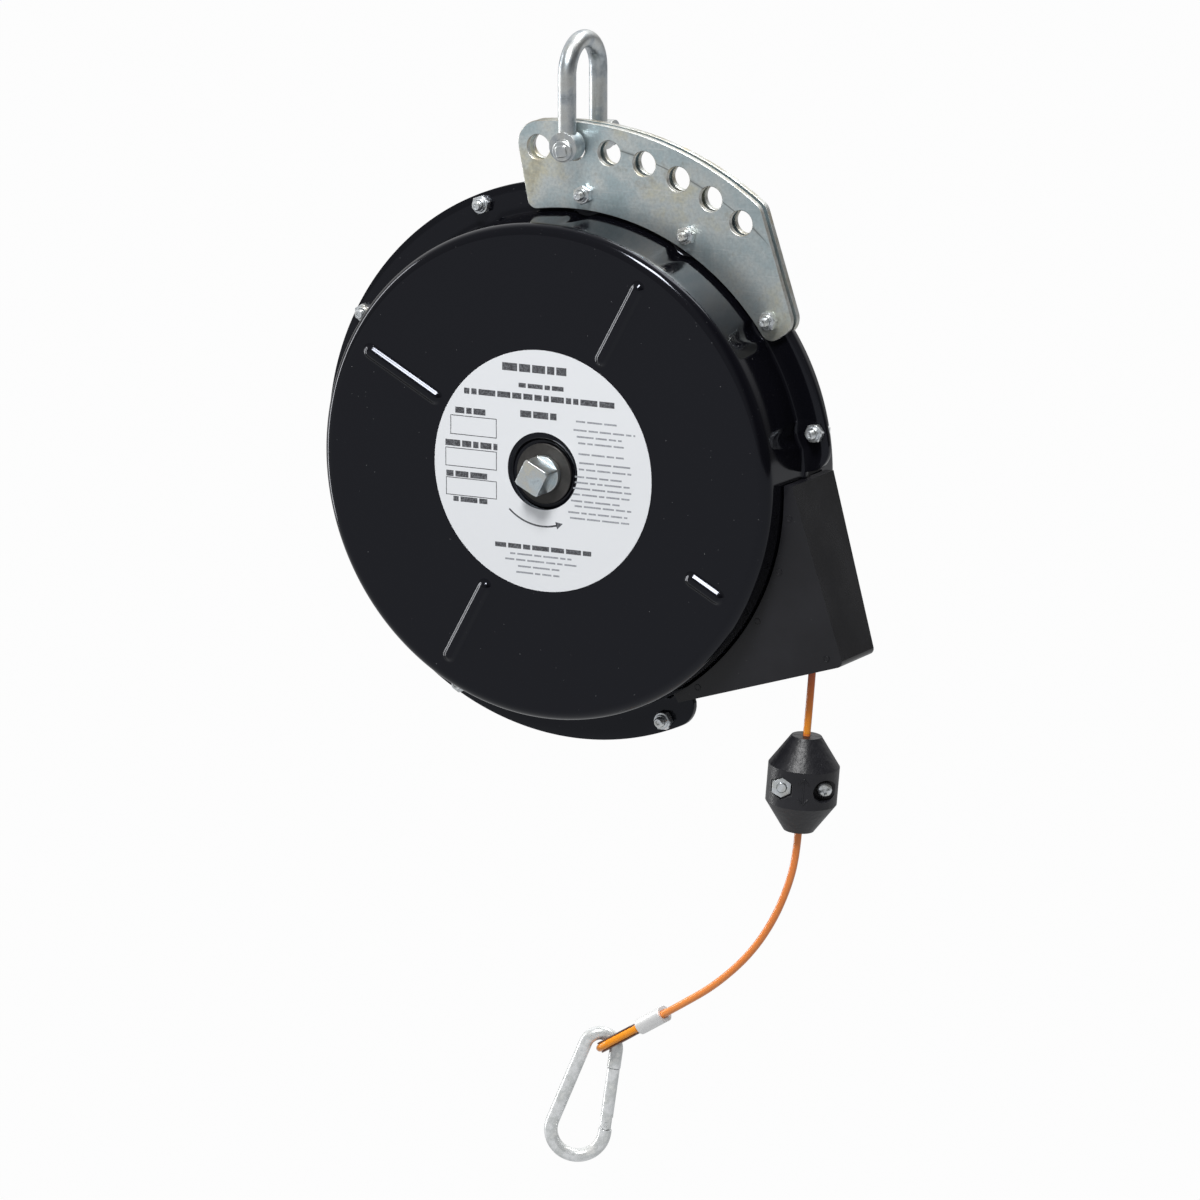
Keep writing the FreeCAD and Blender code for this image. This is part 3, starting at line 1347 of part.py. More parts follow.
def thimble():
    """The channel-shaped eye liner that the hook bears on."""
    sheet = float(d.thimble_sheet)
    radius = float(d.cord_radius)
    gap = float(d.clamp_gap)
    lip = float(d.thimble_lip)
    frame = loop_frame()
    path = eye_path(radius + gap + sheet, radius * 0.25)
    start = path[0].Vertexes[0].Point
    way = (path[0].Vertexes[1].Point - start).normalize()
    outward = AXIS_Z.cross(way) * -1
    half = radius + gap + sheet

    def corner(out, up):
        """A corner of the channel's section."""
        return start + outward * out + AXIS_Z * up

    section = [
        corner(0, -half), corner(sheet + lip, -half), corner(sheet + lip, -half + sheet),
        corner(sheet, -half + sheet), corner(sheet, half - sheet), corner(sheet + lip, half - sheet),
        corner(sheet + lip, half), corner(0, half), corner(0, -half),
    ]
    channel = swept(path, Part.makePolygon(section))
    room = Part.makeBox(4, 60, 60, Vector(-3.9, -30, -30))
    channel = channel.cut(room)
    channel.Placement = frame
    shaped("thimble", channel)


# Ball stop

def ball_profile():
    """Half section of the ball stop: caps, cones and band."""
    return [
        (0, -d.ball_half), (d.ball_cap, -d.ball_half), (d.ball_radius, -d.band_half),
        (d.ball_radius, d.band_half), (d.ball_cap, d.ball_half), (0, d.ball_half),
    ]


def ball_centre():
    """Middle of the ball stop, on the straight run between its two ends."""
    return (in_plane(BALL_TOP) + in_plane(BALL_FOOT)) * 0.5


def ball_place():
    """Placement of the ball stop: its own Y along the cord, its Z towards the camera side."""
    lean = Rotation(AXIS_Z, in_plane(BALL_TOP) - in_plane(BALL_FOOT))
    turn = Rotation(AXIS_Z, float(d.ball_turn))
    centre = ball_centre() + Vector(0, -float(d.shackle_shift), -float(axis_drop))
    return Placement(centre, lean * turn * Rotation(Vector(1, 0, 0), 90))


def put_on_ball(thing, label):
    """Keep a piece of the ball stop at the ball's own placement."""
    place = ball_place()
    thing.Label = label
    thing.Placement = place
    parts.append(thing)
    return thing


def ball_half(label, side):
    """One half of the ball stop, with the pockets for its two screws."""
    blank = turned(label + "_blank", ball_profile())
    reach = d.ball_radius + 1
    low = d.ball_seam if side > 0 else -reach
    room = block(label + "_side", (-reach, -d.ball_half - 1, low),
                 (reach, d.ball_half + 1, low + reach - d.ball_seam))
    half = common(label + "_half", blank, room)
    cord = rod_y(label + "_cord", d.cord_radius + d.clamp_gap, -d.ball_half - 1, d.ball_half + 1)
    tools = [cord]
    for across in (-1, 1):
        x = d.ball_screw_out * across
        tools.append(solid("Cylinder", label + "_hole", (x, 0, -reach), Radius=d.bolt_radius + d.bolt_clearance,
                           Height=reach * 2))
        floor = d.pocket_floor * side if side > 0 else -reach
        height = reach - d.pocket_floor
        if across * side < 0:
            six = solid("Prism", label + "_hex", (x, 0, floor), Rotation(AXIS_Z, 30), Height=height,
                        Circumradius=(d.ball_nut_across + d.ball_pocket_gap) / root(3))
            six.Polygon = 6
            tools.append(six)
        else:
            tools.append(solid("Cylinder", label + "_round", (x, 0, floor), Radius=d.pocket_radius,
                               Height=height))
    return put_on_ball(cut(label + "_cut", half, tools), label)


def ball_fasteners():
    """Two screws in opposite directions, with their nuts."""
    screws = []
    nuts = []
    for across in (-1, 1):
        x = float(d.ball_screw_out) * across
        head_side = Vector(0, 0, across)
        seat = float(d.pocket_floor) + float(d.ball_seat_gap)
        base = Vector(x, 0, 0)
        end = seat + float(d.nut_height) + 0.8
        shank = Part.makeCylinder(float(d.bolt_radius), seat + end, base - head_side * end, head_side)
        head = Part.makeCylinder(float(d.screw_head), float(d.screw_head_height), base + head_side * seat,
                                 head_side)
        screws.append(shank.fuse(head).removeSplitter())
        corner = float(d.ball_nut_across) / math.sqrt(3)
        turns = [math.radians(60 * k + 30) for k in range(7)]
        ring = [Vector(corner * math.cos(turn), corner * math.sin(turn), 0) for turn in turns]
        prism = Part.Face(Part.makePolygon(ring)).extrude(head_side * -float(d.nut_height))
        prism.translate(base - head_side * seat)
        bore = Part.makeCylinder(float(d.bolt_radius + d.press_gap), 60, base - Vector(0, 0, 30), AXIS_Z)
        nuts.append(prism.cut(bore))
    for label, pieces in (("ball_screws", screws), ("ball_nuts", nuts)):
        thing = doc.addObject("Part::Feature", label)
        thing.Shape = Part.makeCompound(pieces)
        put_on_ball(thing, label)


# Snap hook, drawn in its own frame: X across, Z along, origin at the centre of the top bend

def hook_geometry():
    """Angles and points of the hook's middle line."""
    top = float(d.hook_top)
    low = float(d.hook_bottom)
    length = float(d.hook_length)
    lean = math.asin((low - top) / length)
    return top, low, length, lean


def hook_place():
    """Placement of the hook: its top bend passes through the thimble."""
    frame = loop_frame()
    reach = float(d.eye_length + d.eye_inside - d.hook_rod - d.hook_slack)
    crossing = frame.multVec(Vector(reach, 0, 0))
    face = Rotation(AXIS_Z, float(d.hook_turn))
    across = face.multVec(Vector(1, 0, 0))
    angle = math.radians(30)
    centre = crossing - (across * math.cos(angle) + AXIS_Z * math.sin(angle)) * float(d.hook_top)
    return Placement(centre, face * Rotation(AXIS_Y, float(d.hook_lean)))


def gate_ends():
    """Start and end of the gate along the hook's right side, and the unit direction down it."""
    top, low, length, lean = hook_geometry()
    normal = Vector(math.cos(lean), 0, math.sin(lean))
    upper = normal * top
    lower = Vector(0, 0, -length) + normal * low
    down = (lower - upper).normalize()
    return upper + down * float(d.nose_length), lower - down * float(d.heel_length), down


def on_hook(label, shape):
    """Keep a shape drawn in the hook's frame."""
    place = Placement(Vector(0, -float(d.shackle_shift), -float(axis_drop)), Rotation())
    thing = doc.addObject("Part::Feature", label)
    thing.Shape = shape
    thing.Label = label
    thing.Placement = place.multiply(hook_place())
    parts.append(thing)
    return thing


def snap_hook():
    """Bent rod, gate, pivot pin and gate spring."""
    top, low, length, lean = hook_geometry()
    radius = float(d.hook_rod)
    start, end, down = gate_ends()
    normal = Vector(math.cos(lean), 0, math.sin(lean))
    mirrored = Vector(-normal.x, 0, normal.z)
    bottom = Vector(0, 0, -length)
    path = [
        Part.LineSegment(start, normal * top).toShape(),
        Part.Arc(normal * top, Vector(0, 0, top), mirrored * top).toShape(),
        Part.LineSegment(mirrored * top, bottom + mirrored * low).toShape(),
        Part.Arc(bottom + mirrored * low, bottom - AXIS_Z * low, bottom + normal * low).toShape(),
        Part.LineSegment(bottom + normal * low, end).toShape(),
    ]
    ring = Part.Wire([Part.Circle(start, down, radius).toShape()])
    rod = Part.Wire(path).makePipeShell([ring], True, False)
    pivot_out = float(d.gate_radius)
    pivot = end - down * pivot_out
    tongue_half = float(d.tongue_half)
    tongue = Part.makeCylinder(pivot_out - 0.4, tongue_half * 2, pivot - AXIS_Y * tongue_half, AXIS_Y)
    stem_width = (pivot_out - 0.4) * 2
    stem = Part.makeBox(stem_width, tongue_half * 2, pivot_out + 1.5,
                        Vector(-stem_width / 2, -tongue_half, -1.5))
    stem.Placement = Placement(end, Rotation(AXIS_Z, down * -1))
    pin_hole = Part.makeCylinder(float(d.gate_pin + d.run_gap), 20, pivot - AXIS_Y * 10, AXIS_Y)
    hook = rod.fuse([tongue, stem]).cut(pin_hole).removeSplitter()
    on_hook("hook_body", hook)

    gap = float(d.gate_gap)
    tube_radius = float(d.gate_radius)
    top_end = start + down * gap
    low_end = end - down * gap
    gate = Part.makeCylinder(tube_radius, (low_end - top_end).Length, top_end, down)
    fork = Part.makeBox(tube_radius * 4, (tongue_half + 0.3) * 2, pivot_out * 2 + 1.2,
                        Vector(-tube_radius * 2, -tongue_half - 0.3, -1))
    fork.Placement = Placement(end, Rotation(AXIS_Z, down * -1))
    bore = Part.makeCylinder(float(d.gate_pin + d.press_gap), 20, pivot - AXIS_Y * 10, AXIS_Y)
    spring_room = Part.makeCylinder(1.5, 13, pivot - down * (pivot_out + 14), down)
    foot = Part.makeBox(tube_radius * 4, tube_radius * 4, pivot_out + 1,
                        Vector(-tube_radius * 2, -tube_radius * 2, -1))
    foot.Placement = Placement(end, Rotation(AXIS_Z, down * -1))
    ear = Part.makeCylinder(pivot_out - gap, tube_radius * 4, pivot - AXIS_Y * tube_radius * 2, AXIS_Y)
    gate = gate.cut([fork, bore, spring_room, foot.cut(ear)])
    on_hook("hook_gate", gate)
    pin = Part.makeCylinder(float(d.gate_pin), tube_radius * 2 - 0.6, pivot - AXIS_Y * (tube_radius - 0.3),
                            AXIS_Y)
    on_hook("gate_pin", pin)
    plunger = Part.makeCylinder(1.4, 12.4, pivot - down * (pivot_out + 13.7), down)
    on_hook("gate_spring", plunger)


def write_parts():
    """Check every object and every piece, and write the pieces."""
    doc.recompute()
    failed = [thing.Label for thing in doc.Objects
              if "Invalid" in thing.State or "Error" in thing.State]
    if failed:
        raise RuntimeError("these failed: " + ", ".join(failed))
    os.makedirs("parts", exist_ok=True)
    for thing in parts:
        if thing.Shape.isNull() or not thing.Shape.isValid():
            raise RuntimeError("{0} has no valid shape".format(thing.Label))
        thing.Shape.exportStep("parts/{0}.step".format(thing.Label))
        print(thing.Label, "solids", len(thing.Shape.Solids), "volume", round(thing.Shape.Volume, 1))


def build():
    """Make every piece in turn."""
    pan("front_cover", -1)
    pan("rear_cover", 1)
    fasteners()
    hanger_plate("hanger_plate_front", -1)
    hanger_plate("hanger_plate_rear", 1)
    shackle()
    cable_guide()
    label_disc()
    housing_bush("front_bush", -1)
    housing_bush("rear_bush", 1)
    tension_shaft()
    for label, start in zip(("retaining_ring_front", "retaining_ring_rear"), ring_places()):
        retaining_ring(label, start)
    ratchet_wheel()
    key("wheel_key", wheel_front, teeth_back)
    release_leaf()
    leaf_clamp()
    drum()
    drum_lid()
    drum_bush("drum_bush_front", -1)
    drum_bush("drum_bush_rear", 1)
    spring_arbor()
    power_spring()
    anchor_pin()
    wound_cord()
    cords()
    rope_eye()
    ferrule()
    thimble()
    ball_half("ball_stop_front", 1)
    ball_half("ball_stop_rear", -1)
    ball_fasteners()
    snap_hook()
    write_parts()


build()
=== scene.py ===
"""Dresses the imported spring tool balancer: pressed pans, hanger, guide, cord and hook.

The classes of pieces hold their sizes in millimetres, from the drum axis and the joint between the
pans, and their angles in degrees. Materials, the studio and finished meshes use metres.
"""

import json
import logging
import math
from contextlib import contextmanager
from dataclasses import dataclass, field
from enum import Enum
from typing import Iterable, Iterator, Optional, Sequence, Union

import bmesh
import bpy
from mathutils import Matrix, Vector


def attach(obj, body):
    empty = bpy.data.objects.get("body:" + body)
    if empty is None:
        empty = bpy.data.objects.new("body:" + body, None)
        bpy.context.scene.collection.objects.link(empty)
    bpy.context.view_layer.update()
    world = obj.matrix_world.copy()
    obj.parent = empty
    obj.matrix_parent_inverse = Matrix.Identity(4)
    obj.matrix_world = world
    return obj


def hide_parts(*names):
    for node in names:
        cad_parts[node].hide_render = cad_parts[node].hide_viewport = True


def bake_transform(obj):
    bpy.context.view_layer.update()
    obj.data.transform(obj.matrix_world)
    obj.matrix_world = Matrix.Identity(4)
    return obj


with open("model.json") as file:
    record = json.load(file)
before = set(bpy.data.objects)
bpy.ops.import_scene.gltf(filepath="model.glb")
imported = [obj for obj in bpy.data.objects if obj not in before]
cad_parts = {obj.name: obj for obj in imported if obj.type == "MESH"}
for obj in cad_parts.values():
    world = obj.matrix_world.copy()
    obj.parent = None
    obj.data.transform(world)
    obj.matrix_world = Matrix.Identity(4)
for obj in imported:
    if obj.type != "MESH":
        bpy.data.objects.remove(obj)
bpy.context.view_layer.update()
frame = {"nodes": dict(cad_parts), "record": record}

log = logging.getLogger("balancer")

MM = 0.001
# Where the drum's axis crosses the joint between the pans, in metres
DRUM_AXIS = Vector((0.0, -5.0, -209.49)) * MM
# Direction of the middle of the cord guide, seen from the drum axis
GUIDE_ANGLE = -28.5
FULL_TURN = 2.0 * math.pi
# Points closer than this become one, in metres
WELD = 1e-7
# Points of CAD pieces closer than this become one, in metres, and faces flatter than this join
CAD_WELD = 2e-6
CAD_FLAT = 0.6
# Edges of CAD pieces sharper than this are bevelled
EDGE_ANGLE = 34.0
# Faces whose normal has more than this along Y are a plate's broad faces
BROAD_FACE = 0.9

Number = Union[int, float]
Pair = tuple[float, float]
Triple = tuple[float, float, float]
Colour = Triple
Node = bpy.types.Node
Socket = bpy.types.NodeSocket
Material = bpy.types.Material
Mesh = bpy.types.Mesh
Piece = bpy.types.Object
Stops = Sequence[tuple[float, Colour]]
Box = tuple[float, float, float, float]
Shape = tuple[list[Vector], list[list[int]]]
Operand = Union["Signal", Number]


class Side(Enum):
    """Front (label) side or rear side, as a factor on depth."""

    FRONT = -1
    REAR = 1


class Body(Enum):
    """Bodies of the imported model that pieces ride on."""

    SHACKLE = "shackle"
    HOUSING = "housing"
    PAWL = "pawl"
    SHAFT = "shaft"
    DRUM = "drum"
    CORD_END = "cord_end"
    HOOK = "hook"
    GATE = "gate"


def on_axis(across: float, depth: float, up: float) -> Vector:
    """Turn millimetres about the drum axis into a point of the model.

    Args:
        across: Distance to the right of the drum axis.
        depth: Distance behind the joint between the pans.
        up: Distance above the drum axis.

    Returns:
        The point in metres.
    """
    return DRUM_AXIS + Vector((across, depth, up)) * MM


def polar(radius: float, angle: float, depth: float) -> Vector:
    """Point at a radius and an angle in degrees about the drum axis, in metres."""
    turn = math.radians(angle)
    return on_axis(radius * math.cos(turn), depth, radius * math.sin(turn))


# Shader writing

class Signal:
    """A number in a shader that ordinary sums and products act on."""

    def __init__(self, tree: bpy.types.NodeTree, socket: Socket) -> None:
        """Keep the tree and the socket that gives the number."""
        self.tree = tree
        self.socket = socket

    def _maths(self, operation: str, *values: Operand) -> "Signal":
        """Add one Math node and feed it numbers or signals."""
        maker = self.tree.nodes.new("ShaderNodeMath")
        maker.operation = operation
        for slot, value in zip(maker.inputs, values):
            if isinstance(value, Signal):
                self.tree.links.new(value.socket, slot)
            else:
                slot.default_value = value
        return Signal(self.tree, maker.outputs[0])

    def __add__(self, other: Operand) -> "Signal":
        """Sum."""
        return self._maths("ADD", self, other)

    __radd__ = __add__

    def __sub__(self, other: Operand) -> "Signal":
        """Difference."""
        return self._maths("SUBTRACT", self, other)

    def __rsub__(self, other: Operand) -> "Signal":
        """Difference the other way round."""
        return self._maths("SUBTRACT", other, self)

    def __mul__(self, other: Operand) -> "Signal":
        """Product."""
        return self._maths("MULTIPLY", self, other)

    __rmul__ = __mul__

    def __truediv__(self, other: Operand) -> "Signal":
        """Quotient."""
        return self._maths("DIVIDE", self, other)

    def sine(self) -> "Signal":
        """Sine of an angle in radians."""
        return self._maths("SINE", self)

    def size(self) -> "Signal":
        """The number without its sign."""
        return self._maths("ABSOLUTE", self)

    def lowest(self, other: Operand) -> "Signal":
        """The smaller of two numbers."""
        return self._maths("MINIMUM", self, other)

    def step(self, low: float, high: float, least: float = 0.0) -> "Signal":
        """Ease from the least value at low to 1 at high; low may be the larger of the two."""
        maker = self.tree.nodes.new("ShaderNodeMapRange")
        maker.interpolation_type = "SMOOTHSTEP"
        first, last = (low, high) if low < high else (high, low)
        ends = (least, 1.0) if low < high else (1.0, least)
        self.tree.links.new(self.socket, maker.inputs["Value"])
        for name, value in zip(("From Min", "From Max", "To Min", "To Max"), (first, last, *ends)):
            maker.inputs[name].default_value = value
        return Signal(self.tree, maker.outputs["Result"])


Value = Union[Signal, Socket, Number, tuple]


class Nodes:
    """Writes nodes into a tree."""

    def __init__(self, tree: bpy.types.NodeTree) -> None:
        """Empty the tree."""
        self.tree = tree
        self.tree.nodes.clear()

    def node(self, kind: str, settings: Optional[dict] = None, **values: Value) -> Node:
        """Add a node.

        Args:
            kind: The node's type.
            settings: Its own settings, set before its sockets; "stops" fills a ramp.
            **values: Values or links of its sockets, named with underscores for spaces.

        Returns:
            The node.
        """
        maker = self.tree.nodes.new(kind)
        for name, value in (settings or {}).items():
            if name == "stops":
                self._fill_ramp(maker.color_ramp, value)
            else:
                setattr(maker, name, value)
        for name, value in values.items():
            self.feed(maker.inputs[name.replace("_", " ")], value)
        return maker

    def feed(self, slot: Socket, value: Value) -> None:
        """Link or set one socket."""
        if isinstance(value, Signal):
            self.tree.links.new(value.socket, slot)
        elif isinstance(value, Socket):
            self.tree.links.new(value, slot)
        elif slot.type == "RGBA" and len(value) == 3:
            slot.default_value = (*value, 1.0)
        else:
            slot.default_value = value

    def signal(self, node: Node, output: Union[int, str] = 0) -> Signal:
        """One output of a node as a number to reckon with."""
        return Signal(self.tree, node.outputs[output])

    def between(self, amount: Value, first: Node,
                second: Node) -> Node:
        """A surface or background mixed from two others."""
        mixed = self.node("ShaderNodeMixShader")
        for slot, value in zip(mixed.inputs, (amount, first.outputs[0], second.outputs[0])):
            self.feed(slot, value)
        return mixed

    @staticmethod
    def _fill_ramp(ramp: bpy.types.ColorRamp, stops: Stops) -> None:
        """Replace the stops of a colour ramp."""
        while len(ramp.elements) > 1:
            ramp.elements.remove(ramp.elements[-1])
        for index, (where, colour) in enumerate(stops):
            element = ramp.elements[0] if index == 0 else ramp.elements.new(where)
            element.position = where
            element.color = (*colour, 1.0)


class Shader(Nodes):
    """One material under construction."""

    def __init__(self, name: str) -> None:
        """Start an empty material with its output."""
        self.material = bpy.data.materials.new(name)
        self.material.use_nodes = True
        super().__init__(self.material.node_tree)
        self.output = self.node("ShaderNodeOutputMaterial")
        self.place = self.node("ShaderNodeTexCoord").outputs["Object"]

    def stretched(self, scale: Triple, turn: tuple = (0.0, 0.0, 0.0),
                  centre: tuple = (0.0, 0.0, 0.0)) -> Socket:
        """Object coordinates moved to a centre, turned and then scaled."""
        moved = self.node("ShaderNodeVectorMath", {"operation": "SUBTRACT"})
        self.feed(moved.inputs[0], self.place)
        self.feed(moved.inputs[1], centre)
        return self.node("ShaderNodeMapping", {"vector_type": "POINT"}, Vector=moved.outputs[0],
                         Rotation=turn, Scale=scale).outputs["Vector"]

    def noise(self, scale: float, detail: float = 3.0, where: Optional[Value] = None,
              rough: float = 0.55) -> Signal:
        """Soft noise from 0 to 1, finer with a larger scale."""
        maker = self.node("ShaderNodeTexNoise", Vector=where or self.place, Scale=scale,
                          Detail=detail, Roughness=rough)
        return self.signal(maker)

    def streaks(self, scale: Triple, lean: float, detail: float) -> Signal:
        """Noise drawn out along one leaning direction."""
        return self.noise(1.0, detail, self.stretched(scale, (0.0, lean, 0.0)))

    def specks(self, scale: float, reach: Pair, share: Pair,
               channel: int = 0) -> Signal:
        """Scattered dots.

        Args:
            scale: Cells in a metre.
            reach: Where a dot fades out and where it is full, as a share of a cell.
            share: Which random values of a cell give no dot and a full one.
            channel: The random colour's channel that decides.

        Returns:
            1 in a dot and 0 outside.
        """
        cell = self.node("ShaderNodeTexVoronoi", Vector=self.place, Scale=scale, Randomness=1.0)
        shade = self.node("ShaderNodeSeparateColor", Color=cell.outputs["Color"])
        return self.signal(cell, "Distance").step(*reach) * self.signal(shade, channel).step(*share)

    def length(self, vector: Value) -> Signal:
        """The length of a vector."""
        maker = self.node("ShaderNodeVectorMath", {"operation": "LENGTH"})
        self.feed(maker.inputs[0], vector)
        return self.signal(maker, "Value")

    def axis(self, name: str, where: Optional[Value] = None) -> Signal:
        """One coordinate, X, Y or Z."""
        maker = self.node("ShaderNodeSeparateXYZ", Vector=where or self.place)
        return self.signal(maker, name)

    def ramp(self, along: Signal, stops: Stops) -> Socket:
        """A colour from a number."""
        return self.node("ShaderNodeValToRGB", {"stops": stops}, Fac=along).outputs["Color"]

    def blend(self, amount: Value, first: Value, second: Value) -> Socket:
        """A colour between two others."""
        maker = self.node("ShaderNodeMix", {"data_type": "RGBA"})
        self.feed(maker.inputs[0], amount)
        self.feed(maker.inputs[6], first)
        self.feed(maker.inputs[7], second)
        return maker.outputs[2]

    def bump(self, height: Value, depth: float, strength: float) -> Socket:
        """A normal from a height field, depth in millimetres."""
        maker = self.node("ShaderNodeBump", Strength=strength, Distance=depth * MM, Height=height)
        return maker.outputs["Normal"]

    def surface(self, **values: Value) -> Material:
        """Close the material with its surface values.

        Args:
            **values: Sockets of the surface, named with underscores for spaces.

        Returns:
            The finished material.
        """
        return self.closed(self.node("ShaderNodeBsdfPrincipled", None, **values))

    def closed(self, face: Node) -> Material:
        """Close the material with a finished surface node."""
        self.feed(self.output.inputs["Surface"], face.outputs[0])
        return self.material


@dataclass(frozen=True)
class GlossPaint:
    """Black gloss paint on pressed steel, with dust specks and faint orange peel."""

    name: str = "gloss_black_paint"
    colour: Colour = (0.0028, 0.0028, 0.0042)
    roughness: float = 0.10
    dust: Colour = (0.16, 0.16, 0.165)

    def make(self) -> Material:
        """Build the material."""
        ink = Shader(self.name)
        speck = (ink.specks(230.0, (0.075, 0.02), (0.55, 0.95))
                 + ink.specks(620.0, (0.10, 0.03), (0.72, 0.95), channel=1) * 0.6)
        film = ink.noise(9.0, 4.0).step(0.45, 0.75)
        colour = ink.blend((speck * 0.9).lowest(1.0), self.colour, self.dust)
        peel = ink.noise(520.0, 1.5) + ink.noise(60.0, 2.0) * 1.5
        rough = ink.noise(35.0, 3.0) * 0.05 + film * 0.04 + speck * 0.4 + (self.roughness - 0.03)
        return ink.surface(Base_Color=colour, Roughness=rough, Normal=ink.bump(peel, 0.010, 0.12),
                           Specular_IOR_Level=0.30, Specular_Tint=(0.84, 0.88, 1.0))


@dataclass(frozen=True)
class GuidePlastic:
    """Satin black moulded plastic with a faint sparkle grain."""

    name: str = "satin_black_moulding"
    colour: Colour = (0.0042, 0.0042, 0.0060)
    worn: Colour = (0.014, 0.014, 0.018)
    roughness: float = 0.34
    grain: float = 900.0
    depth: float = 0.03

    def make(self) -> Material:
        """Build the material."""
        ink = Shader(self.name)
        flow = ink.noise(28.0, 4.0).step(0.35, 0.7)
        fine = ink.noise(self.grain, 3.0)
        speck = ink.specks(480.0, (0.10, 0.03), (0.7, 0.95))
        colour = ink.blend(flow * 0.45 + fine * 0.25, self.colour, self.worn)
        colour = ink.blend(speck * 0.6, colour, (0.16, 0.16, 0.16))
        rough = flow * 0.10 + fine * 0.12 + (self.roughness - 0.06)
        return ink.surface(Base_Color=colour, Roughness=rough,
                           Normal=ink.bump(fine, self.depth, 0.5), Specular_IOR_Level=0.42)


@dataclass(frozen=True)
class PlatedSteel:
    """Zinc plating with blue and yellow tints, mottling and fine scratches."""

    name: str
    cool: Colour = (0.56, 0.60, 0.62)
    warm: Colour = (0.68, 0.65, 0.52)
    dark: Colour = (0.34, 0.38, 0.40)
    patch: float = 24.0
    scratches: float = 1.0
    roughness: float = 0.30
    metal: float = 1.0

    def make(self) -> Material:
        """Build the material."""
        ink = Shader(self.name)
        cloud = ink.noise(self.patch, 5.0, rough=0.62)
        tint = ink.ramp(cloud, [(0.28, self.dark), (0.42, self.cool), (0.55, (0.66, 0.68, 0.67)),
                                (0.66, self.warm), (0.80, (0.72, 0.73, 0.72))])
        grit = ink.noise(self.patch * 22.0, 4.0)
        lines = ink.streaks((900.0, 900.0, 22.0), 0.9, 2.0)
        marks = ink.streaks((60.0, 60.0, 1500.0), 0.35, 1.0).step(0.66, 0.74)
        colour = ink.blend(grit.step(0.30, 0.75) * 0.28, tint, self.dark)
        colour = ink.blend(marks * 0.30 * self.scratches, colour, (0.82, 0.83, 0.83))
        rough = grit * 0.16 + lines * 0.12 * self.scratches + (self.roughness - 0.10)
        height = grit * 0.6 + lines * 0.5 * self.scratches
        return ink.surface(Base_Color=colour, Metallic=self.metal, Roughness=rough,
                           Normal=ink.bump(height, 0.02, 0.35))


@dataclass(frozen=True)
class HangerPlating:
    """The plates' plating, with a row of marking-out stains along the hanging holes."""

    name: str = "hanger_plating"
    stain_circle: float = 162.9

    def make(self) -> Material:
        """Build the material."""
        ink = Shader(self.name)
        cloud = ink.noise(26.0, 5.0, rough=0.62)
        tint = ink.ramp(cloud, [(0.26, (0.42, 0.54, 0.57)), (0.42, (0.58, 0.69, 0.72)),
                                (0.52, (0.76, 0.81, 0.80)), (0.62, (0.82, 0.79, 0.62)),
                                (0.80, (0.60, 0.71, 0.76))])
        centred = ink.stretched((1.0, 1.0, 1.0), centre=tuple(DRUM_AXIS))
        across, up = ink.axis("X", centred), ink.axis("Z", centred)
        radius = ink.length(ink.node("ShaderNodeCombineXYZ", X=across, Z=up).outputs[0])
        wander = (ink.noise(30.0, 2.0) - 0.5) * 0.003
        ruled = across.step(0.012, 0.03) * across.step(0.112, 0.104)
        away = (radius - self.stain_circle * MM + wander).size()
        stain = away.step(0.0016, 0.0003) * ruled
        hairline = away.step(0.00045, 0.00015) * ruled
        brown = ink.noise(55.0, 5.0, rough=0.7).step(0.56, 0.70)
        speckle = ink.noise(260.0, 3.0).step(0.60, 0.72)
        # Painted shade: the plating darkens towards the right of the plates.
        tint = ink.blend(across.step(0.015, 0.095) * 0.35, tint, (0.40, 0.45, 0.46))
        grit = ink.noise(620.0, 4.0)
        lines = ink.streaks((1100.0, 200.0, 28.0), 0.75, 2.0)
        marks = ink.streaks((45.0, 45.0, 1300.0), 0.5, 1.0).step(0.68, 0.75)
        colour = ink.blend(grit.step(0.30, 0.75) * 0.34, tint, (0.30, 0.34, 0.35))
        colour = ink.blend(brown * 0.40, colour, (0.34, 0.30, 0.20))
        colour = ink.blend(speckle * 0.35, colour, (0.80, 0.83, 0.82))
        colour = ink.blend(stain * ink.noise(70.0, 3.0).step(0.45, 0.62) * 0.35, colour,
                           (0.20, 0.21, 0.20))
        colour = ink.blend(hairline * 0.6, colour, (0.10, 0.11, 0.11))
        colour = ink.blend(marks * 0.35, colour, (0.84, 0.85, 0.85))
        rough = grit * 0.16 + lines * 0.12 + stain * 0.1 + 0.20
        return ink.surface(Base_Color=colour, Metallic=0.9, Roughness=rough,
                           Normal=ink.bump(grit * 0.6 + lines * 0.6, 0.02, 0.35))


@dataclass(frozen=True)
class LabelFilm:
    """Pale grey printed film with a soft sheen."""

    name: str = "pale_label_film"
    colour: Colour = (0.72, 0.735, 0.755)

    def make(self) -> Material:
        """Build the material."""
        ink = Shader(self.name)
        fibre = ink.noise(420.0, 3.0)
        cloud = ink.noise(22.0, 3.0)
        colour = ink.blend(fibre * 0.16 + cloud * 0.14, self.colour, (0.79, 0.80, 0.815))
        return ink.surface(Base_Color=colour, Roughness=fibre * 0.10 + 0.36,
                           Normal=ink.bump(cloud * 2.0 + fibre * 0.2, 0.02, 0.25))


@dataclass(frozen=True)
class Print:
    """Printing ink, broken a little so that it doesn't look solid."""

    name: str
    colour: Colour
    paper: Colour = (0.55, 0.58, 0.62)
    break_up: float = 0.25

    def make(self) -> Material:
        """Build the material."""
        ink = Shader(self.name)
        worn = ink.noise(1500.0, 2.0).step(0.35, 0.75)
        colour = ink.blend(worn * self.break_up, self.colour, self.paper)
        return ink.surface(Base_Color=colour, Roughness=worn * 0.1 + 0.42)


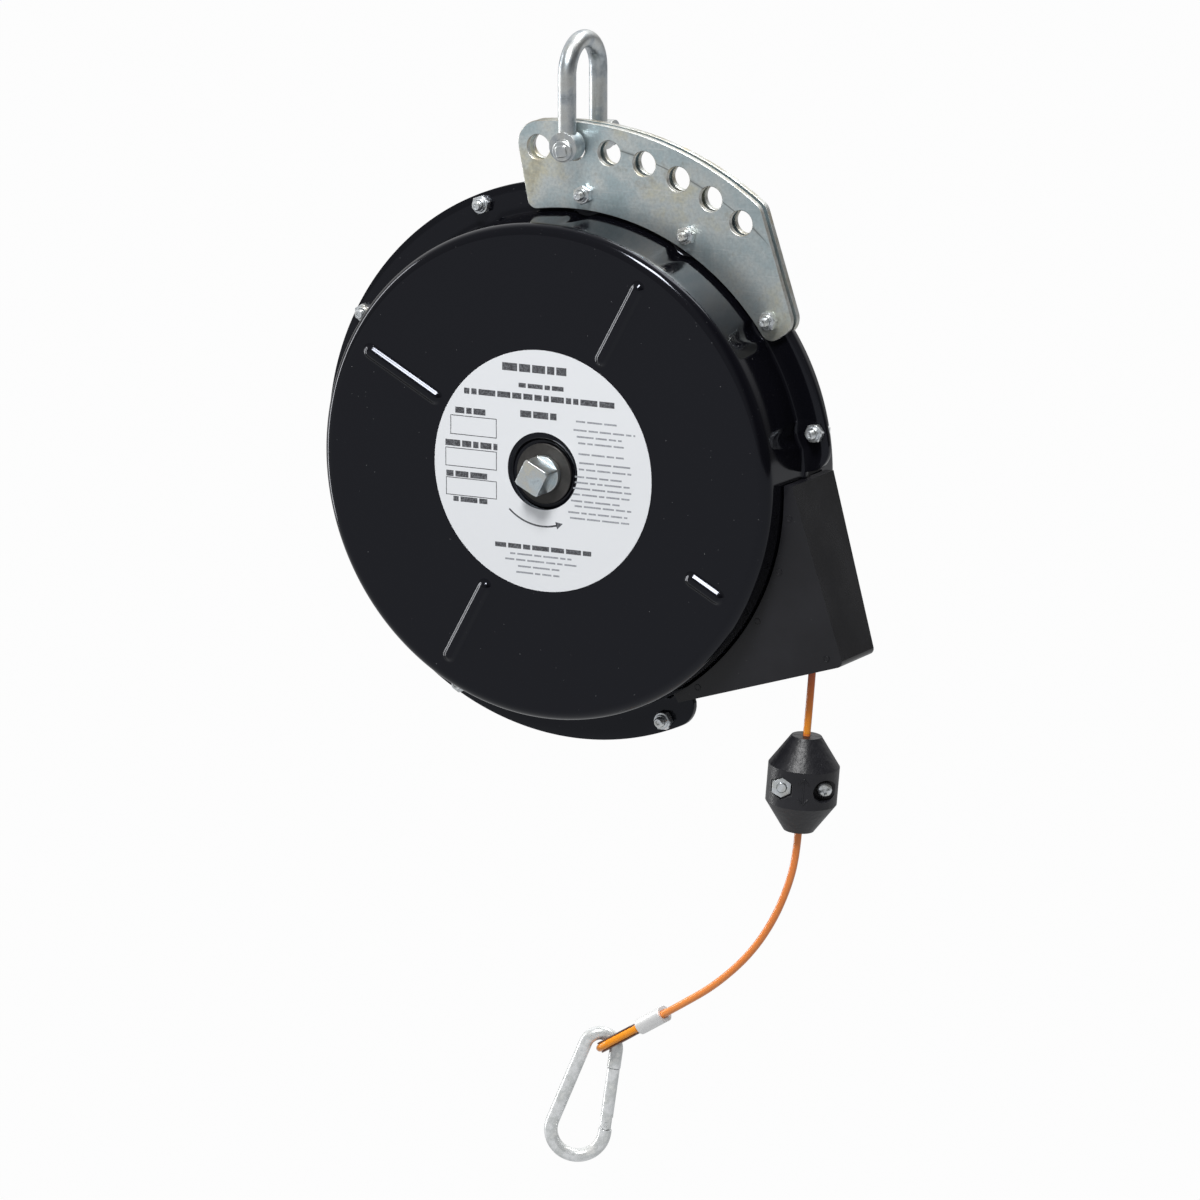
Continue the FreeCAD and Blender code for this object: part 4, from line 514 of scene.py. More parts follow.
@dataclass(frozen=True)
class CoatedCord:
    """Orange see-through coating over twisted wire, lighter towards the ball stop."""

    name: str
    stops: tuple[tuple[float, Colour], ...]
    length: float
    lay: float = 0.021
    strands: int = 6

    def make(self) -> Material:
        """Build the material. UV holds the turn about the cord and the distance along it."""
        ink = Shader(self.name)
        uv = ink.node("ShaderNodeUVMap", {"uv_map": "cord"}).outputs["UV"]
        around, along = ink.axis("X", uv), ink.axis("Y", uv)
        twist = (around * float(self.strands) + along * (self.strands / self.lay)) * FULL_TURN
        strand = twist.sine() * 0.5 + 0.5
        # The colour ramp along the cord carries painted shade where a stretch leaves the guide or
        # the ball stop.
        base = ink.ramp(along / self.length, self.stops)
        cloud = ink.noise(240.0, 3.0)
        # The grooves between the strands are darkened, partly the coating's deeper colour there and
        # partly painted shade.
        groove_coat_and_shade = ink.blend(strand.step(0.6, 0.0) * 0.08, base, (0.34, 0.09, 0.018))
        colour = ink.blend(cloud.step(0.45, 0.8) * 0.15, groove_coat_and_shade, (0.90, 0.40, 0.10))
        return ink.surface(Base_Color=colour, Roughness=cloud * 0.12 + 0.17,
                           Normal=ink.bump(strand + cloud * 0.3, 0.02, 0.12),
                           Coat_Weight=0.3, Coat_Roughness=0.06, Specular_IOR_Level=0.4)


@dataclass(frozen=True)
class BareMetal:
    """Plain metal with grain, for bushes, drum, springs and keys."""

    name: str
    colour: Colour
    worn: Colour
    roughness: float = 0.4
    metal: float = 1.0
    rings: bool = False
    ring_waves: float = 9000.0

    def make(self) -> Material:
        """Build the material."""
        ink = Shader(self.name)
        cloud = ink.noise(60.0, 4.0)
        grit = ink.noise(900.0, 3.0)
        if self.rings:
            radius = ink.length(ink.stretched((1.0, 0.0, 1.0), centre=tuple(DRUM_AXIS)))
            grit = (radius * self.ring_waves).sine() * 0.25 + grit * 0.75
        colour = ink.blend(cloud.step(0.35, 0.7) * 0.6 + grit * 0.25, self.colour, self.worn)
        return ink.surface(Base_Color=colour, Metallic=self.metal,
                           Roughness=grit * 0.15 + cloud * 0.1 + (self.roughness - 0.1),
                           Normal=ink.bump(grit, 0.015, 0.3))


class Finishes:
    """Every finish of the balancer, made once and fetched by name."""

    def __init__(self) -> None:
        """Make all finishes."""
        # The upper stretch darkens towards the guide's mouth and the lower one a little just below
        # the ball stop: painted shade.
        upper = ((0.0, (0.44, 0.062, 0.006)), (0.45, (0.70, 0.16, 0.006)),
                 (1.0, (0.92, 0.31, 0.006)))
        lower = ((0.0, (0.80, 0.23, 0.05)), (0.5, (0.86, 0.25, 0.045)), (1.0, (0.90, 0.31, 0.07)))
        eye = ((0.0, (0.93, 0.32, 0.008)), (1.0, (0.92, 0.29, 0.010)))
        makers = {
            "paint": GlossPaint(),
            "guide": GuidePlastic(),
            # Darker copy of the guide's plastic for its right-facing faces: painted shade on that
            # side of the guide.
            "guide_side": GuidePlastic("polished_black_moulding", (0.0024, 0.0024, 0.0036),
                                       (0.008, 0.008, 0.010), 0.20),
            "ball": GuidePlastic("grained_black_plastic", (0.0058, 0.0058, 0.0080),
                                 (0.021, 0.021, 0.026), 0.38, 420.0, 0.45),
            "hanger": HangerPlating(),
            "edge": PlatedSteel("plate_cut_edge", (0.50, 0.49, 0.44), (0.56, 0.51, 0.38),
                                (0.30, 0.28, 0.23), 60.0, 0.4, 0.46),
            "fastener": PlatedSteel("zinc_fastener", (0.80, 0.83, 0.86), (0.82, 0.80, 0.74),
                                    (0.46, 0.49, 0.52), 160.0, 0.4, 0.27, 0.85),
            "shackle": PlatedSteel("galvanised_shackle", (0.50, 0.54, 0.57), (0.60, 0.61, 0.59),
                                   (0.27, 0.30, 0.32), 110.0, 0.5, 0.38),
            "hook": PlatedSteel("bright_hook_plating", (0.90, 0.91, 0.91), (0.92, 0.92, 0.89),
                                (0.66, 0.68, 0.69), 120.0, 0.35, 0.25, 0.40),
            "shaft": PlatedSteel("shaft_plating", (0.66, 0.74, 0.78), (0.74, 0.72, 0.62),
                                 (0.38, 0.44, 0.48), 110.0, 1.0, 0.28, 0.9),
            "label": LabelFilm(),
            "ink": Print("dark_ink", (0.035, 0.035, 0.04)),
            "grey_ink": Print("grey_ink", (0.26, 0.27, 0.29), break_up=0.45),
            "cord_upper": CoatedCord("cord_coat_upper", upper, 0.033),
            "cord_lower": CoatedCord("cord_coat_lower", lower, 0.15),
            "cord_eye": CoatedCord("cord_coat_eye", eye, 0.08),
            "ferrule": BareMetal("pressed_ferrule", (0.84, 0.84, 0.83), (0.72, 0.72, 0.72),
                                 0.48, 0.55),
            # The thimble's dark red-brown colour is a painted reflection of the orange cord with
            # painted shade in the steel.
            "thimble": BareMetal("tarnished_thimble", (0.20, 0.085, 0.05), (0.42, 0.36, 0.33),
                                 0.34, 0.8),
            "bush": BareMetal("dark_bush", (0.035, 0.034, 0.033), (0.10, 0.095, 0.09),
                              0.42, 0.6, True),
            "drum": BareMetal("cast_drum", (0.52, 0.53, 0.54), (0.36, 0.37, 0.38), 0.45, 1.0, True),
            "spring": BareMetal("blued_spring", (0.10, 0.12, 0.17), (0.24, 0.23, 0.22), 0.32),
            "bronze": BareMetal("bronze_bush", (0.50, 0.30, 0.12), (0.34, 0.20, 0.09), 0.38),
            "dark_steel": BareMetal("oiled_steel", (0.20, 0.20, 0.20), (0.10, 0.10, 0.10), 0.36),
        }
        self.materials = {name: maker.make() for name, maker in makers.items()}

    def __getitem__(self, name: str) -> Material:
        """Fetch one finish."""
        return self.materials[name]


# Mesh helpers

def new_piece(name: str, mesh: Mesh, finish: Material) -> Piece:
    """Link a mesh as a piece with one finish."""
    piece = bpy.data.objects.new(name, mesh)
    bpy.context.scene.collection.objects.link(piece)
    mesh.materials.clear()
    mesh.materials.append(finish)
    return piece


def raw_mesh(name: str, points: Iterable[Sequence[float]], faces: Iterable = ()) -> Mesh:
    """A mesh of points and faces just as they are given."""
    mesh = bpy.data.meshes.new(name)
    mesh.from_pydata([tuple(point) for point in points], [], [tuple(face) for face in faces])
    return mesh


@contextmanager
def edited(mesh: Mesh) -> Iterator[bmesh.types.BMesh]:
    """Open a mesh for changes and write it back."""
    shape = bmesh.new()
    shape.from_mesh(mesh)
    yield shape
    shape.to_mesh(mesh)
    shape.free()


def frozen(name: str, carrier: Piece) -> Mesh:
    """The evaluated mesh of a helper object, which is then removed."""
    bpy.context.scene.collection.objects.link(carrier)
    bpy.context.view_layer.update()
    seen = carrier.evaluated_get(bpy.context.evaluated_depsgraph_get())
    mesh = bpy.data.meshes.new_from_object(seen)
    mesh.name = name
    bpy.data.objects.remove(carrier)
    return mesh


def smooth(mesh: Mesh, angle: float = 32.0) -> None:
    """Shade a mesh smooth with sharp edges above an angle in degrees."""
    mesh.polygons.foreach_set("use_smooth", [True] * len(mesh.polygons))
    limit = math.radians(angle)
    with edited(mesh) as shape:
        for edge in shape.edges:
            edge.smooth = len(edge.link_faces) == 2 and edge.calc_face_angle(0.0) < limit


def mesh_of(name: str, points: Sequence[Vector], faces: Sequence[Sequence[int]],
            angle: float = 32.0) -> Mesh:
    """A mesh with its normals outwards, shaded smooth."""
    mesh = raw_mesh(name, points, faces)
    with edited(mesh) as shape:
        bmesh.ops.remove_doubles(shape, verts=shape.verts, dist=WELD)
        bmesh.ops.recalc_face_normals(shape, faces=shape.faces)
    smooth(mesh, angle)
    return mesh


def stacked(levels: int, count: int) -> list[range]:
    """Point numbers of rings that lie one after the other."""
    return [range(level * count, (level + 1) * count) for level in range(levels)]


def bands(rings: Sequence[Sequence]) -> list[list]:
    """Faces between neighbouring closed rings; a ring of one repeated point is a pole."""
    faces = []
    for low, high in zip(rings, rings[1:]):
        for step in range(len(low)):
            following = (step + 1) % len(low)
            corners = (low[step], low[following], high[following], high[step])
            faces.append(list(dict.fromkeys(corners)))
    return [face for face in faces if len(face) > 2]


class Gathered:
    """Points and faces of several shapes that become one mesh."""

    def __init__(self) -> None:
        """Start empty."""
        self.points: list[Vector] = []
        self.faces: list[list[int]] = []

    def add(self, points: Iterable[Vector], faces: Iterable[Sequence[int]]) -> None:
        """Add one shape, whose faces count its own points."""
        start = len(self.points)
        self.points += points
        self.faces += [[index + start for index in face] for face in faces]

    def mesh(self, name: str, angle: float) -> Mesh:
        """The mesh of all that was added, smooth up to an angle."""
        return mesh_of(name, self.points, self.faces, angle)


def weigh_normals(piece: Piece) -> None:
    """Let large flat faces keep their own direction where they meet small rounded ones."""
    weights = piece.modifiers.new("face_weights", "WEIGHTED_NORMAL")
    weights.mode = "FACE_AREA"
    weights.weight = 80
    weights.keep_sharp = True


def refined(node: str, finish: Material, body: Body, width: float,
            edge: Optional[Material] = None) -> Piece:
    """A welded, softly bevelled copy of a CAD node that stands in its place.

    Args:
        node: The CAD node.
        finish: Its material.
        body: The body that it rides on.
        width: Bevel width in millimetres.
        edge: Another material for the bevels and for every face not square to Y.

    Returns:
        The piece.
    """
    source = frame["nodes"][node].data
    shape = bmesh.new()
    shape.from_mesh(source)
    bmesh.ops.remove_doubles(shape, verts=shape.verts, dist=CAD_WELD)
    bmesh.ops.dissolve_limit(shape, angle_limit=math.radians(CAD_FLAT), verts=shape.verts,
                             edges=shape.edges)
    shape.verts.ensure_lookup_table()
    points = [vertex.co.copy() for vertex in shape.verts]
    faces = [[vertex.index for vertex in face.verts] for face in shape.faces]
    shape.free()
    name = node + "_dressed"
    mesh = raw_mesh(name, points, faces)
    smooth(mesh, EDGE_ANGLE)
    piece = new_piece(name, mesh, finish)
    if edge is not None:
        mesh.materials.append(edge)
        for face in mesh.polygons:
            face.material_index = int(abs(face.normal.y) <= BROAD_FACE)
    bevel = piece.modifiers.new("soft_edges", "BEVEL")
    bevel.width = width * MM
    bevel.segments = 2
    bevel.limit_method = "ANGLE"
    bevel.angle_limit = math.radians(EDGE_ANGLE)
    bevel.use_clamp_overlap = True
    bevel.material = -1 if edge is None else 1
    weigh_normals(piece)
    settle(piece, body, [node])
    return piece


def settle(piece: Piece, body: Body, nodes: Sequence[str] = (), slot: str = "") -> None:
    """Let a piece ride on its body and hide the CAD nodes that it stands for."""
    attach(piece, body.value)
    if nodes:
        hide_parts(*nodes)
        slot = slot or slot_of(nodes[0])
    log.info("%s on %s, %d faces", piece.name, body.value, len(piece.data.polygons))


def slot_of(node: str) -> str:
    """The record's material slot of a CAD node."""
    parts = frame["record"]["subparts"]
    return next(part["material_slot"] for part in parts if part["node"] == node)


def lathe(profile: Sequence[Pair], segments: int, centre: Vector,
          axis: Vector) -> Shape:
    """Points and faces of a closed or pole-ended profile turned about an axis.

    Args:
        profile: Radius and height pairs in millimetres; radius 0 makes a pole.
        segments: Steps round the axis.
        centre: Point on the axis, in metres.
        axis: Direction of growing height.

    Returns:
        The points and the faces.
    """
    way = axis.normalized()
    side = way.orthogonal().normalized()
    other = way.cross(side)
    points: list[Vector] = []
    rings: list[list[int]] = []
    for radius, height in profile:
        base = centre + way * (height * MM)
        if radius <= 1e-6:
            rings.append([len(points)] * segments)
            points.append(base)
            continue
        rings.append(list(range(len(points), len(points) + segments)))
        for step in range(segments):
            turn = FULL_TURN * step / segments
            points.append(base + (side * math.cos(turn) + other * math.sin(turn)) * (radius * MM))
    return points, bands(rings)


# Geometry Nodes

class Tree(Nodes):
    """A Geometry Nodes tree under construction."""

    def __init__(self, name: str) -> None:
        """Start a tree with a geometry input and output."""
        super().__init__(bpy.data.node_groups.new(name, "GeometryNodeTree"))
        for way in ("INPUT", "OUTPUT"):
            self.tree.interface.new_socket("Geometry", in_out=way,
                                           socket_type="NodeSocketGeometry")
        self.identifiers: dict[str, str] = {}
        self.entry = self.node("NodeGroupInput")
        self.exit = self.node("NodeGroupOutput")

    def size(self, name: str, kind: str = "NodeSocketFloat") -> Socket:
        """Add a named input and give its socket inside the tree."""
        item = self.tree.interface.new_socket(name, in_out="INPUT", socket_type=kind)
        self.identifiers[name] = item.identifier
        return next(out for out in self.entry.outputs if out.identifier == item.identifier)

    def finish(self, geometry: Socket, material: Socket) -> None:
        """Close the tree with real geometry in one material."""
        real = self.node("GeometryNodeRealizeInstances", Geometry=geometry)
        dressed = self.node("GeometryNodeSetMaterial", Geometry=real.outputs[0], Material=material)
        self.feed(self.exit.inputs[0], dressed.outputs[0])

    def apply(self, name: str, start: Mesh, finish: Material,
              sizes: dict[str, object]) -> Piece:
        """Run the tree on a mesh and keep the result as a plain piece.

        Args:
            name: Name of the piece.
            start: Mesh that the tree starts from.
            finish: Material of the piece.
            sizes: Values of the tree's named inputs.

        Returns:
            The piece, with no modifier left on it.
        """
        carrier = bpy.data.objects.new(name + "_carrier", start)
        modifier = carrier.modifiers.new("tree", "NODES")
        modifier.node_group = self.tree
        for label, value in {**sizes, "Finish": finish}.items():
            modifier[self.identifiers[label]] = value
        mesh = frozen(name, carrier)
        piece = new_piece(name, mesh, finish)
        smooth(mesh)
        return piece


class ScatterTree(Tree):
    """Sets copies of one master on given points, each turned at random about Y."""

    def __init__(self) -> None:
        """Build the tree."""
        super().__init__("set_on_points")
        master = self.size("Master", "NodeSocketObject")
        scale = self.size("Scale")
        seed = self.size("Seed", "NodeSocketInt")
        finish = self.size("Finish", "NodeSocketMaterial")
        info = self.node("GeometryNodeObjectInfo", {"transform_space": "ORIGINAL"}, Object=master)
        turn = self.node("FunctionNodeRandomValue", {"data_type": "FLOAT"}, Seed=seed)
        turn.inputs[2].default_value = 0.0
        turn.inputs[3].default_value = FULL_TURN
        angle = self.node("ShaderNodeCombineXYZ", Y=turn.outputs[1])
        placed = self.node("GeometryNodeInstanceOnPoints", Points=self.entry.outputs[0],
                           Instance=info.outputs["Geometry"], Rotation=angle.outputs[0],
                           Scale=scale)
        self.finish(placed.outputs[0], finish)


class ThreadTree(Tree):
    """Rings along Y that read as a screw thread on a stud end."""

    def __init__(self) -> None:
        """Build the tree."""
        super().__init__("thread_rings")
        radius, depth, pitch, start = map(self.size, ("Radius", "Depth", "Pitch", "Start"))
        count = self.size("Count", "NodeSocketInt")
        finish = self.size("Finish", "NodeSocketMaterial")
        first = self.node("ShaderNodeCombineXYZ", Y=start)
        step = self.node("ShaderNodeCombineXYZ", Y=pitch)
        line = self.node("GeometryNodeMeshLine", {"mode": "OFFSET"}, Count=count,
                         Start_Location=first.outputs[0], Offset=step.outputs[0])
        path, rim = (self.node("GeometryNodeCurvePrimitiveCircle", {"mode": "RADIUS"},
                               Resolution=sides, Radius=reach)
                     for sides, reach in ((20, radius), (6, depth)))
        ring = self.node("GeometryNodeCurveToMesh", Curve=path.outputs[0],
                         Profile_Curve=rim.outputs[0])
        placed = self.node("GeometryNodeInstanceOnPoints", Points=line.outputs[0],
                           Instance=ring.outputs[0], Rotation=(math.pi / 2.0, 0.0, 0.0))
        both = self.node("GeometryNodeJoinGeometry", Geometry=self.entry.outputs[0])
        self.feed(both.inputs[0], placed.outputs[0])
        self.finish(both.outputs[0], finish)


# Sub-assemblies

@dataclass
class PressedPan:
    """One pressed pan: recess, face with beads, rounded rim, wall with dimples and flange."""

    side: Side
    finish: Material
    sheet: float = 1.8
    half_depth: float = 37.8
    wall: float = 127.4
    rim: float = 126.3
    rim_round: float = 5.5
    base_round: float = 1.6
    flange: float = 143.2
    bolt_circle: float = 137.6
    gap: float = 31.6
    gap_round: float = 12.0
    bore: float = 12.74
    bolts: tuple[float, ...] = (40.0, 65.3, 90.6, 115.9, 141.2, 180.0, 225.0, 270.0, 320.0)
    dimple: float = 12.2
    dimple_draft: float = 1.7
    dimple_blend: float = 0.7
    dimple_span: float = 0.12
    dimple_at_base: float = 0.35
    dimple_on_flange: float = 0.3
    lip: float = 0.45
    dish: float = 2.5
    dish_wall: tuple[Pair, ...] = (
        (16.4, 0.0), (17.0, 0.08), (17.45, 0.45), (18.15, 2.05), (18.6, 2.42), (19.2, 2.5))
    beads: tuple[Pair, ...] = (
        (0.0, 91.8), (90.0, 65.9), (180.0, 65.9), (270.0, 65.9))
    bead_end: float = 115.7
    bead_half: float = 4.0
    bead_foot: float = 4.2
    bead_crown: float = 1.1
    bead_height: float = 2.0
    bead_reach: float = 6.0
    steps: int = 720
    bead_rings: int = 68
    bead_rings_start: float = 60.0

    def flange_edge(self, turn: float) -> float:
        """Outer radius of the flange at an angle from the guide's middle."""
        away = abs((turn + 180.0) % 360.0 - 180.0)
        bare = self.wall + self.base_round + 0.1
        if away <= self.gap:
            return bare
        reach = self.flange - self.gap_round
        middle = self.gap + math.degrees(math.asin(self.gap_round / reach))
        if away >= middle:
            return self.flange
        off = math.radians(middle - away)
        room = max(self.gap_round ** 2 - (reach * math.sin(off)) ** 2, 0.0)
        return max(bare, reach * math.cos(off) + math.sqrt(room))

    def push(self, turn: float, depth: float, radius: float) -> float:
        """How far a bolt dimple pushes the wall in at an angle and a depth."""
        share = max(depth - self.sheet, 0.0) / (self.half_depth - self.sheet)
        room = self.dimple - self.dimple_draft * share
        push, blend = 0.0, self.dimple_blend
        for bolt in self.bolts:
            off = math.radians((turn - bolt + 180.0) % 360.0 - 180.0)
            inside = room ** 2 - (self.bolt_circle * math.sin(off)) ** 2
            if abs(off) > self.dimple_span or inside <= 0.0:
                continue
            gap = radius - (self.bolt_circle * math.cos(off) - math.sqrt(inside))
            if gap > -blend:
                push = max(push, gap if gap > blend else (gap + blend) ** 2 / (4.0 * blend))
        return push

    def bead(self, across: float, up: float) -> float:
        """Height of the beads above the face, at a point turned with the guide."""
        height = 0.0
        for angle, start in self.beads:
            turn = math.radians(angle)
            along = across * math.cos(turn) + up * math.sin(turn)
            aside = -across * math.sin(turn) + up * math.cos(turn)
            if abs(aside) > self.bead_reach:
                continue
            low, high = start + self.bead_half, self.bead_end - self.bead_half
            ahead = max(low - along, 0.0, along - high)
            away = math.hypot(ahead, aside)
            if away < self.bead_foot:
                rise = min((self.bead_foot - away) / (self.bead_foot - self.bead_crown), 1.0)
                height = max(height, self.bead_height * rise * rise * (3.0 - 2.0 * rise))
        return height

    def beside_bead(self, radius: float, turn: float) -> float:
        """Turn of a face point, with the mesh's columns kept parallel to the bead near them."""
        inner = self.beads[1][1]
        away = (turn + 45.0) % 90.0 - 45.0
        straight = math.degrees(math.asin(math.sin(math.radians(away)) * inner
                                          / max(radius, inner)))
        fade_turn, fade_from, fade_rim = 7.0, 12.0, 4.5
        near = min(max((fade_from - abs(away)) / fade_turn, 0.0), 1.0)
        before_rim = min(max((self.rim - self.rim_round - radius) / fade_rim, 0.0), 1.0)
        return turn + (straight - away) * near * before_rim

    def profile(self) -> list[tuple[float, float, str]]:
        """Radius, depth and kind of each ring, from the bore outwards and back inside."""
        face = self.half_depth
        floor = face - self.dish
        start, end = self.bead_rings_start, self.rim - self.rim_round + 0.15
        rings = [(self.bore, floor, "plain")]
        rings += [(radius, floor + rise, "plain") for radius, rise in self.dish_wall]
        rings += [(20.5 + 7.9 * k, face, "face") for k in range(5)]
        rings += [(start + (end - start) * k / self.bead_rings, face, "face")
                  for k in range(self.bead_rings + 1)]
        slope = (self.wall - self.rim) / (face - self.sheet)
        centre = face - self.rim_round
        middle = self.wall - slope * (centre - self.sheet) - self.rim_round
        for k in range(1, 10):
            turn = math.radians(90.0 - 10.0 * k)
            rings.append((middle + self.rim_round * math.cos(turn),
                          centre + self.rim_round * math.sin(turn), "wall"))
        low = self.sheet + self.base_round
        for k in range(1, 13):
            depth = centre + (low - centre) * k / 12.0
            rings.append((self.wall - slope * (depth - self.sheet), depth, "wall"))
        for k in range(1, 5):
            turn = math.radians(22.5 * k)
            rings.append((self.wall + self.base_round * (1.0 - math.cos(turn)),
                          low - self.base_round * math.sin(turn), "base"))
        rings += [(0.33, self.sheet, "flange"), (0.66, self.sheet, "flange"),
                  (-self.lip, self.sheet, "lip"), (-0.12, self.sheet - 0.15, "lip"),
                  (0.0, self.sheet - 0.5, "lip"), (0.0, 0.0, "lip")]
        inside = self.wall - self.sheet
        rings += [(inside, 0.0, "plain"), (inside, 3.0, "wall"), (inside - 0.5, 18.0, "wall"),
                  (inside - 0.9, centre, "wall"), (inside - 2.2, face - 3.6, "plain"),
                  (inside - 5.4, face - self.sheet, "plain"),
                  (20.6, face - self.sheet, "plain"), (18.4, floor - self.sheet, "plain"),
                  (self.bore, floor - self.sheet, "plain"), (self.bore, floor, "plain")]
        return rings

    def build(self) -> Piece:
        """Make the pan's mesh and let it stand for its CAD node."""
        label = self.side.name.lower()
        rings = self.profile()
        turns = [360.0 * k / self.steps for k in range(self.steps)]
        edges = [self.flange_edge(turn) for turn in turns]
        points = [self.place(ring, turn, edge) for ring in rings
                  for turn, edge in zip(turns, edges)]
        mesh = mesh_of(label + "_pan", points, bands(stacked(len(rings), self.steps)), 38.0)
        piece = new_piece(label + "_pan", mesh, self.finish)
        settle(piece, Body.HOUSING, [label + "_cover"])
        return piece

    def place(self, ring: tuple[float, float, str], turn: float, edge: float) -> Vector:
        """Point of a ring at an angle, where the flange ends at the edge radius."""
        radius, depth, kind = ring
        if kind == "wall":
            radius -= self.push(turn, depth, radius)
        elif kind == "base":
            ease = 1.0 - (radius - self.wall) / self.base_round * self.dimple_at_base
            radius -= self.push(turn, self.sheet, self.wall) * ease
        elif kind == "flange":
            inset = self.push(turn, self.sheet, self.wall) * self.dimple_on_flange
            start = self.wall + self.base_round - inset
            radius = start + (edge - self.lip - start) * radius
        elif kind == "lip":
            radius += edge
        elif kind == "face":
            turn = self.beside_bead(radius, turn)
            angle = math.radians(turn)
            depth += self.bead(radius * math.cos(angle), radius * math.sin(angle))
        return polar(radius, turn + GUIDE_ANGLE, depth * self.side.value)


@dataclass
class Fasteners:
    """Lock nuts, studs and heads round the flange."""

    finishes: Finishes
    scatter: ScatterTree
    thread: ThreadTree
    circle: float = 137.6
    across: float = 8.5
    chamfer: float = 0.86
    soft_angle: float = 28.0
    nut: float = 4.0
    nut_crown: float = 0.45
    head_crown: float = 0.4
    collar: float = 1.2
    tip: float = 3.0
    thread_radius: float = 2.28
    pitch: float = 0.5
    thread_rings: int = 5
    head: float = 3.5
    sheet: float = 1.8
    stack: float = 4.8
    hangers: tuple[float, ...] = (65.3, 90.6, 115.9)
    plain: tuple[float, ...] = (40.0, 141.2, 180.0, 225.0, 270.0, 320.0)

    def hexagon(self, height: float, crown: float, sides: int = 24) -> Shape:
        """A chamfered hexagonal prism along -Y: the corners fall away towards both ends."""
        corner = self.across / math.sqrt(3.0)
        third, sixth = math.pi / 3.0, math.pi / 6.0
        points: list[Vector] = []
        rings = ((self.chamfer, 0.0), (1.0, crown), (1.0, height - crown), (self.chamfer, height))
        for share, along in rings:
            for step in range(sides):
                turn = FULL_TURN * step / sides
                flat = self.across / 2.0 / math.cos((turn + sixth) % third - sixth)
                radius = min(flat, corner * (share if share < 1.0 else 2.0))
                points.append(Vector((radius * math.cos(turn), -along,
                                      radius * math.sin(turn))) * MM)
        loops = stacked(len(rings), sides)
        return points, bands(loops) + [list(loops[0]), list(loops[-1])]

    def nut_master(self) -> Piece:
        """One lock nut with its stud end, its base at the origin and pointing to -Y."""
        low, collar = self.nut, self.nut + self.collar
        tip = collar + self.tip
        dome = [(3.5, low - 0.2), (3.45, low + 0.5), (3.1, collar), (2.75, collar),
                (2.6, collar - 0.4)]
        stud = [(2.34, low - 0.5), (2.34, tip - 0.5), (1.9, tip), (1.15, tip), (0.9, tip - 0.5),
                (0.0, tip - 0.7)]
        nut = Gathered()
        nut.add(*self.hexagon(self.nut, self.nut_crown))
        for profile in (dome, stud):
            nut.add(*lathe(profile, 24, Vector(), Vector((0.0, -1.0, 0.0))))
        return self.thread.apply("nut_master", nut.mesh("nut_blank", self.soft_angle),
                                 self.finishes["fastener"],
                                 {"Radius": self.thread_radius * MM, "Depth": 0.2 * MM,
                                  "Pitch": -self.pitch * MM, "Count": self.thread_rings,
                                  "Start": -(collar + 0.15) * MM})

    def head_master(self) -> Piece:
        """One bolt head, its base at the origin and pointing to -Y."""
        shape = self.hexagon(self.head, self.head_crown)
        mesh = mesh_of("head_master", *shape, self.soft_angle)
        return new_piece("head_master", mesh, self.finishes["fastener"])

    def row(self, name: str, master: Piece, angles: Sequence[float], depth: float,
            seed: int, node: Sequence[str]) -> None:
        """Set one row of fasteners by the scatter tree."""
        spots = raw_mesh(name + "_spots", [polar(self.circle, angle + GUIDE_ANGLE, depth)
                                           for angle in angles])
        piece = self.scatter.apply(name, spots, self.finishes["fastener"],
                                   {"Master": master, "Scale": 1.0, "Seed": seed})
        settle(piece, Body.HOUSING, node, "plated_fastener")

    def build(self) -> None:
        """Make both rows of nuts and both rows of heads."""
        nut = self.nut_master()
        self.row("flange_nut_set", nut, self.plain, -self.sheet, 3, ["flange_nuts"])
        self.row("hanger_nut_set", nut, self.hangers, -self.stack, 8, ["hanger_nuts"])
        head = self.head_master()
        head.data.transform(Matrix.Rotation(math.pi, 4, "Z"))
        self.row("flange_head_set", head, self.plain, self.sheet, 5, ["flange_bolts"])
        self.row("hanger_head_set", head, self.hangers, self.stack, 6, ["hanger_bolts"])
        for master in (nut, head):
            bpy.data.objects.remove(master)


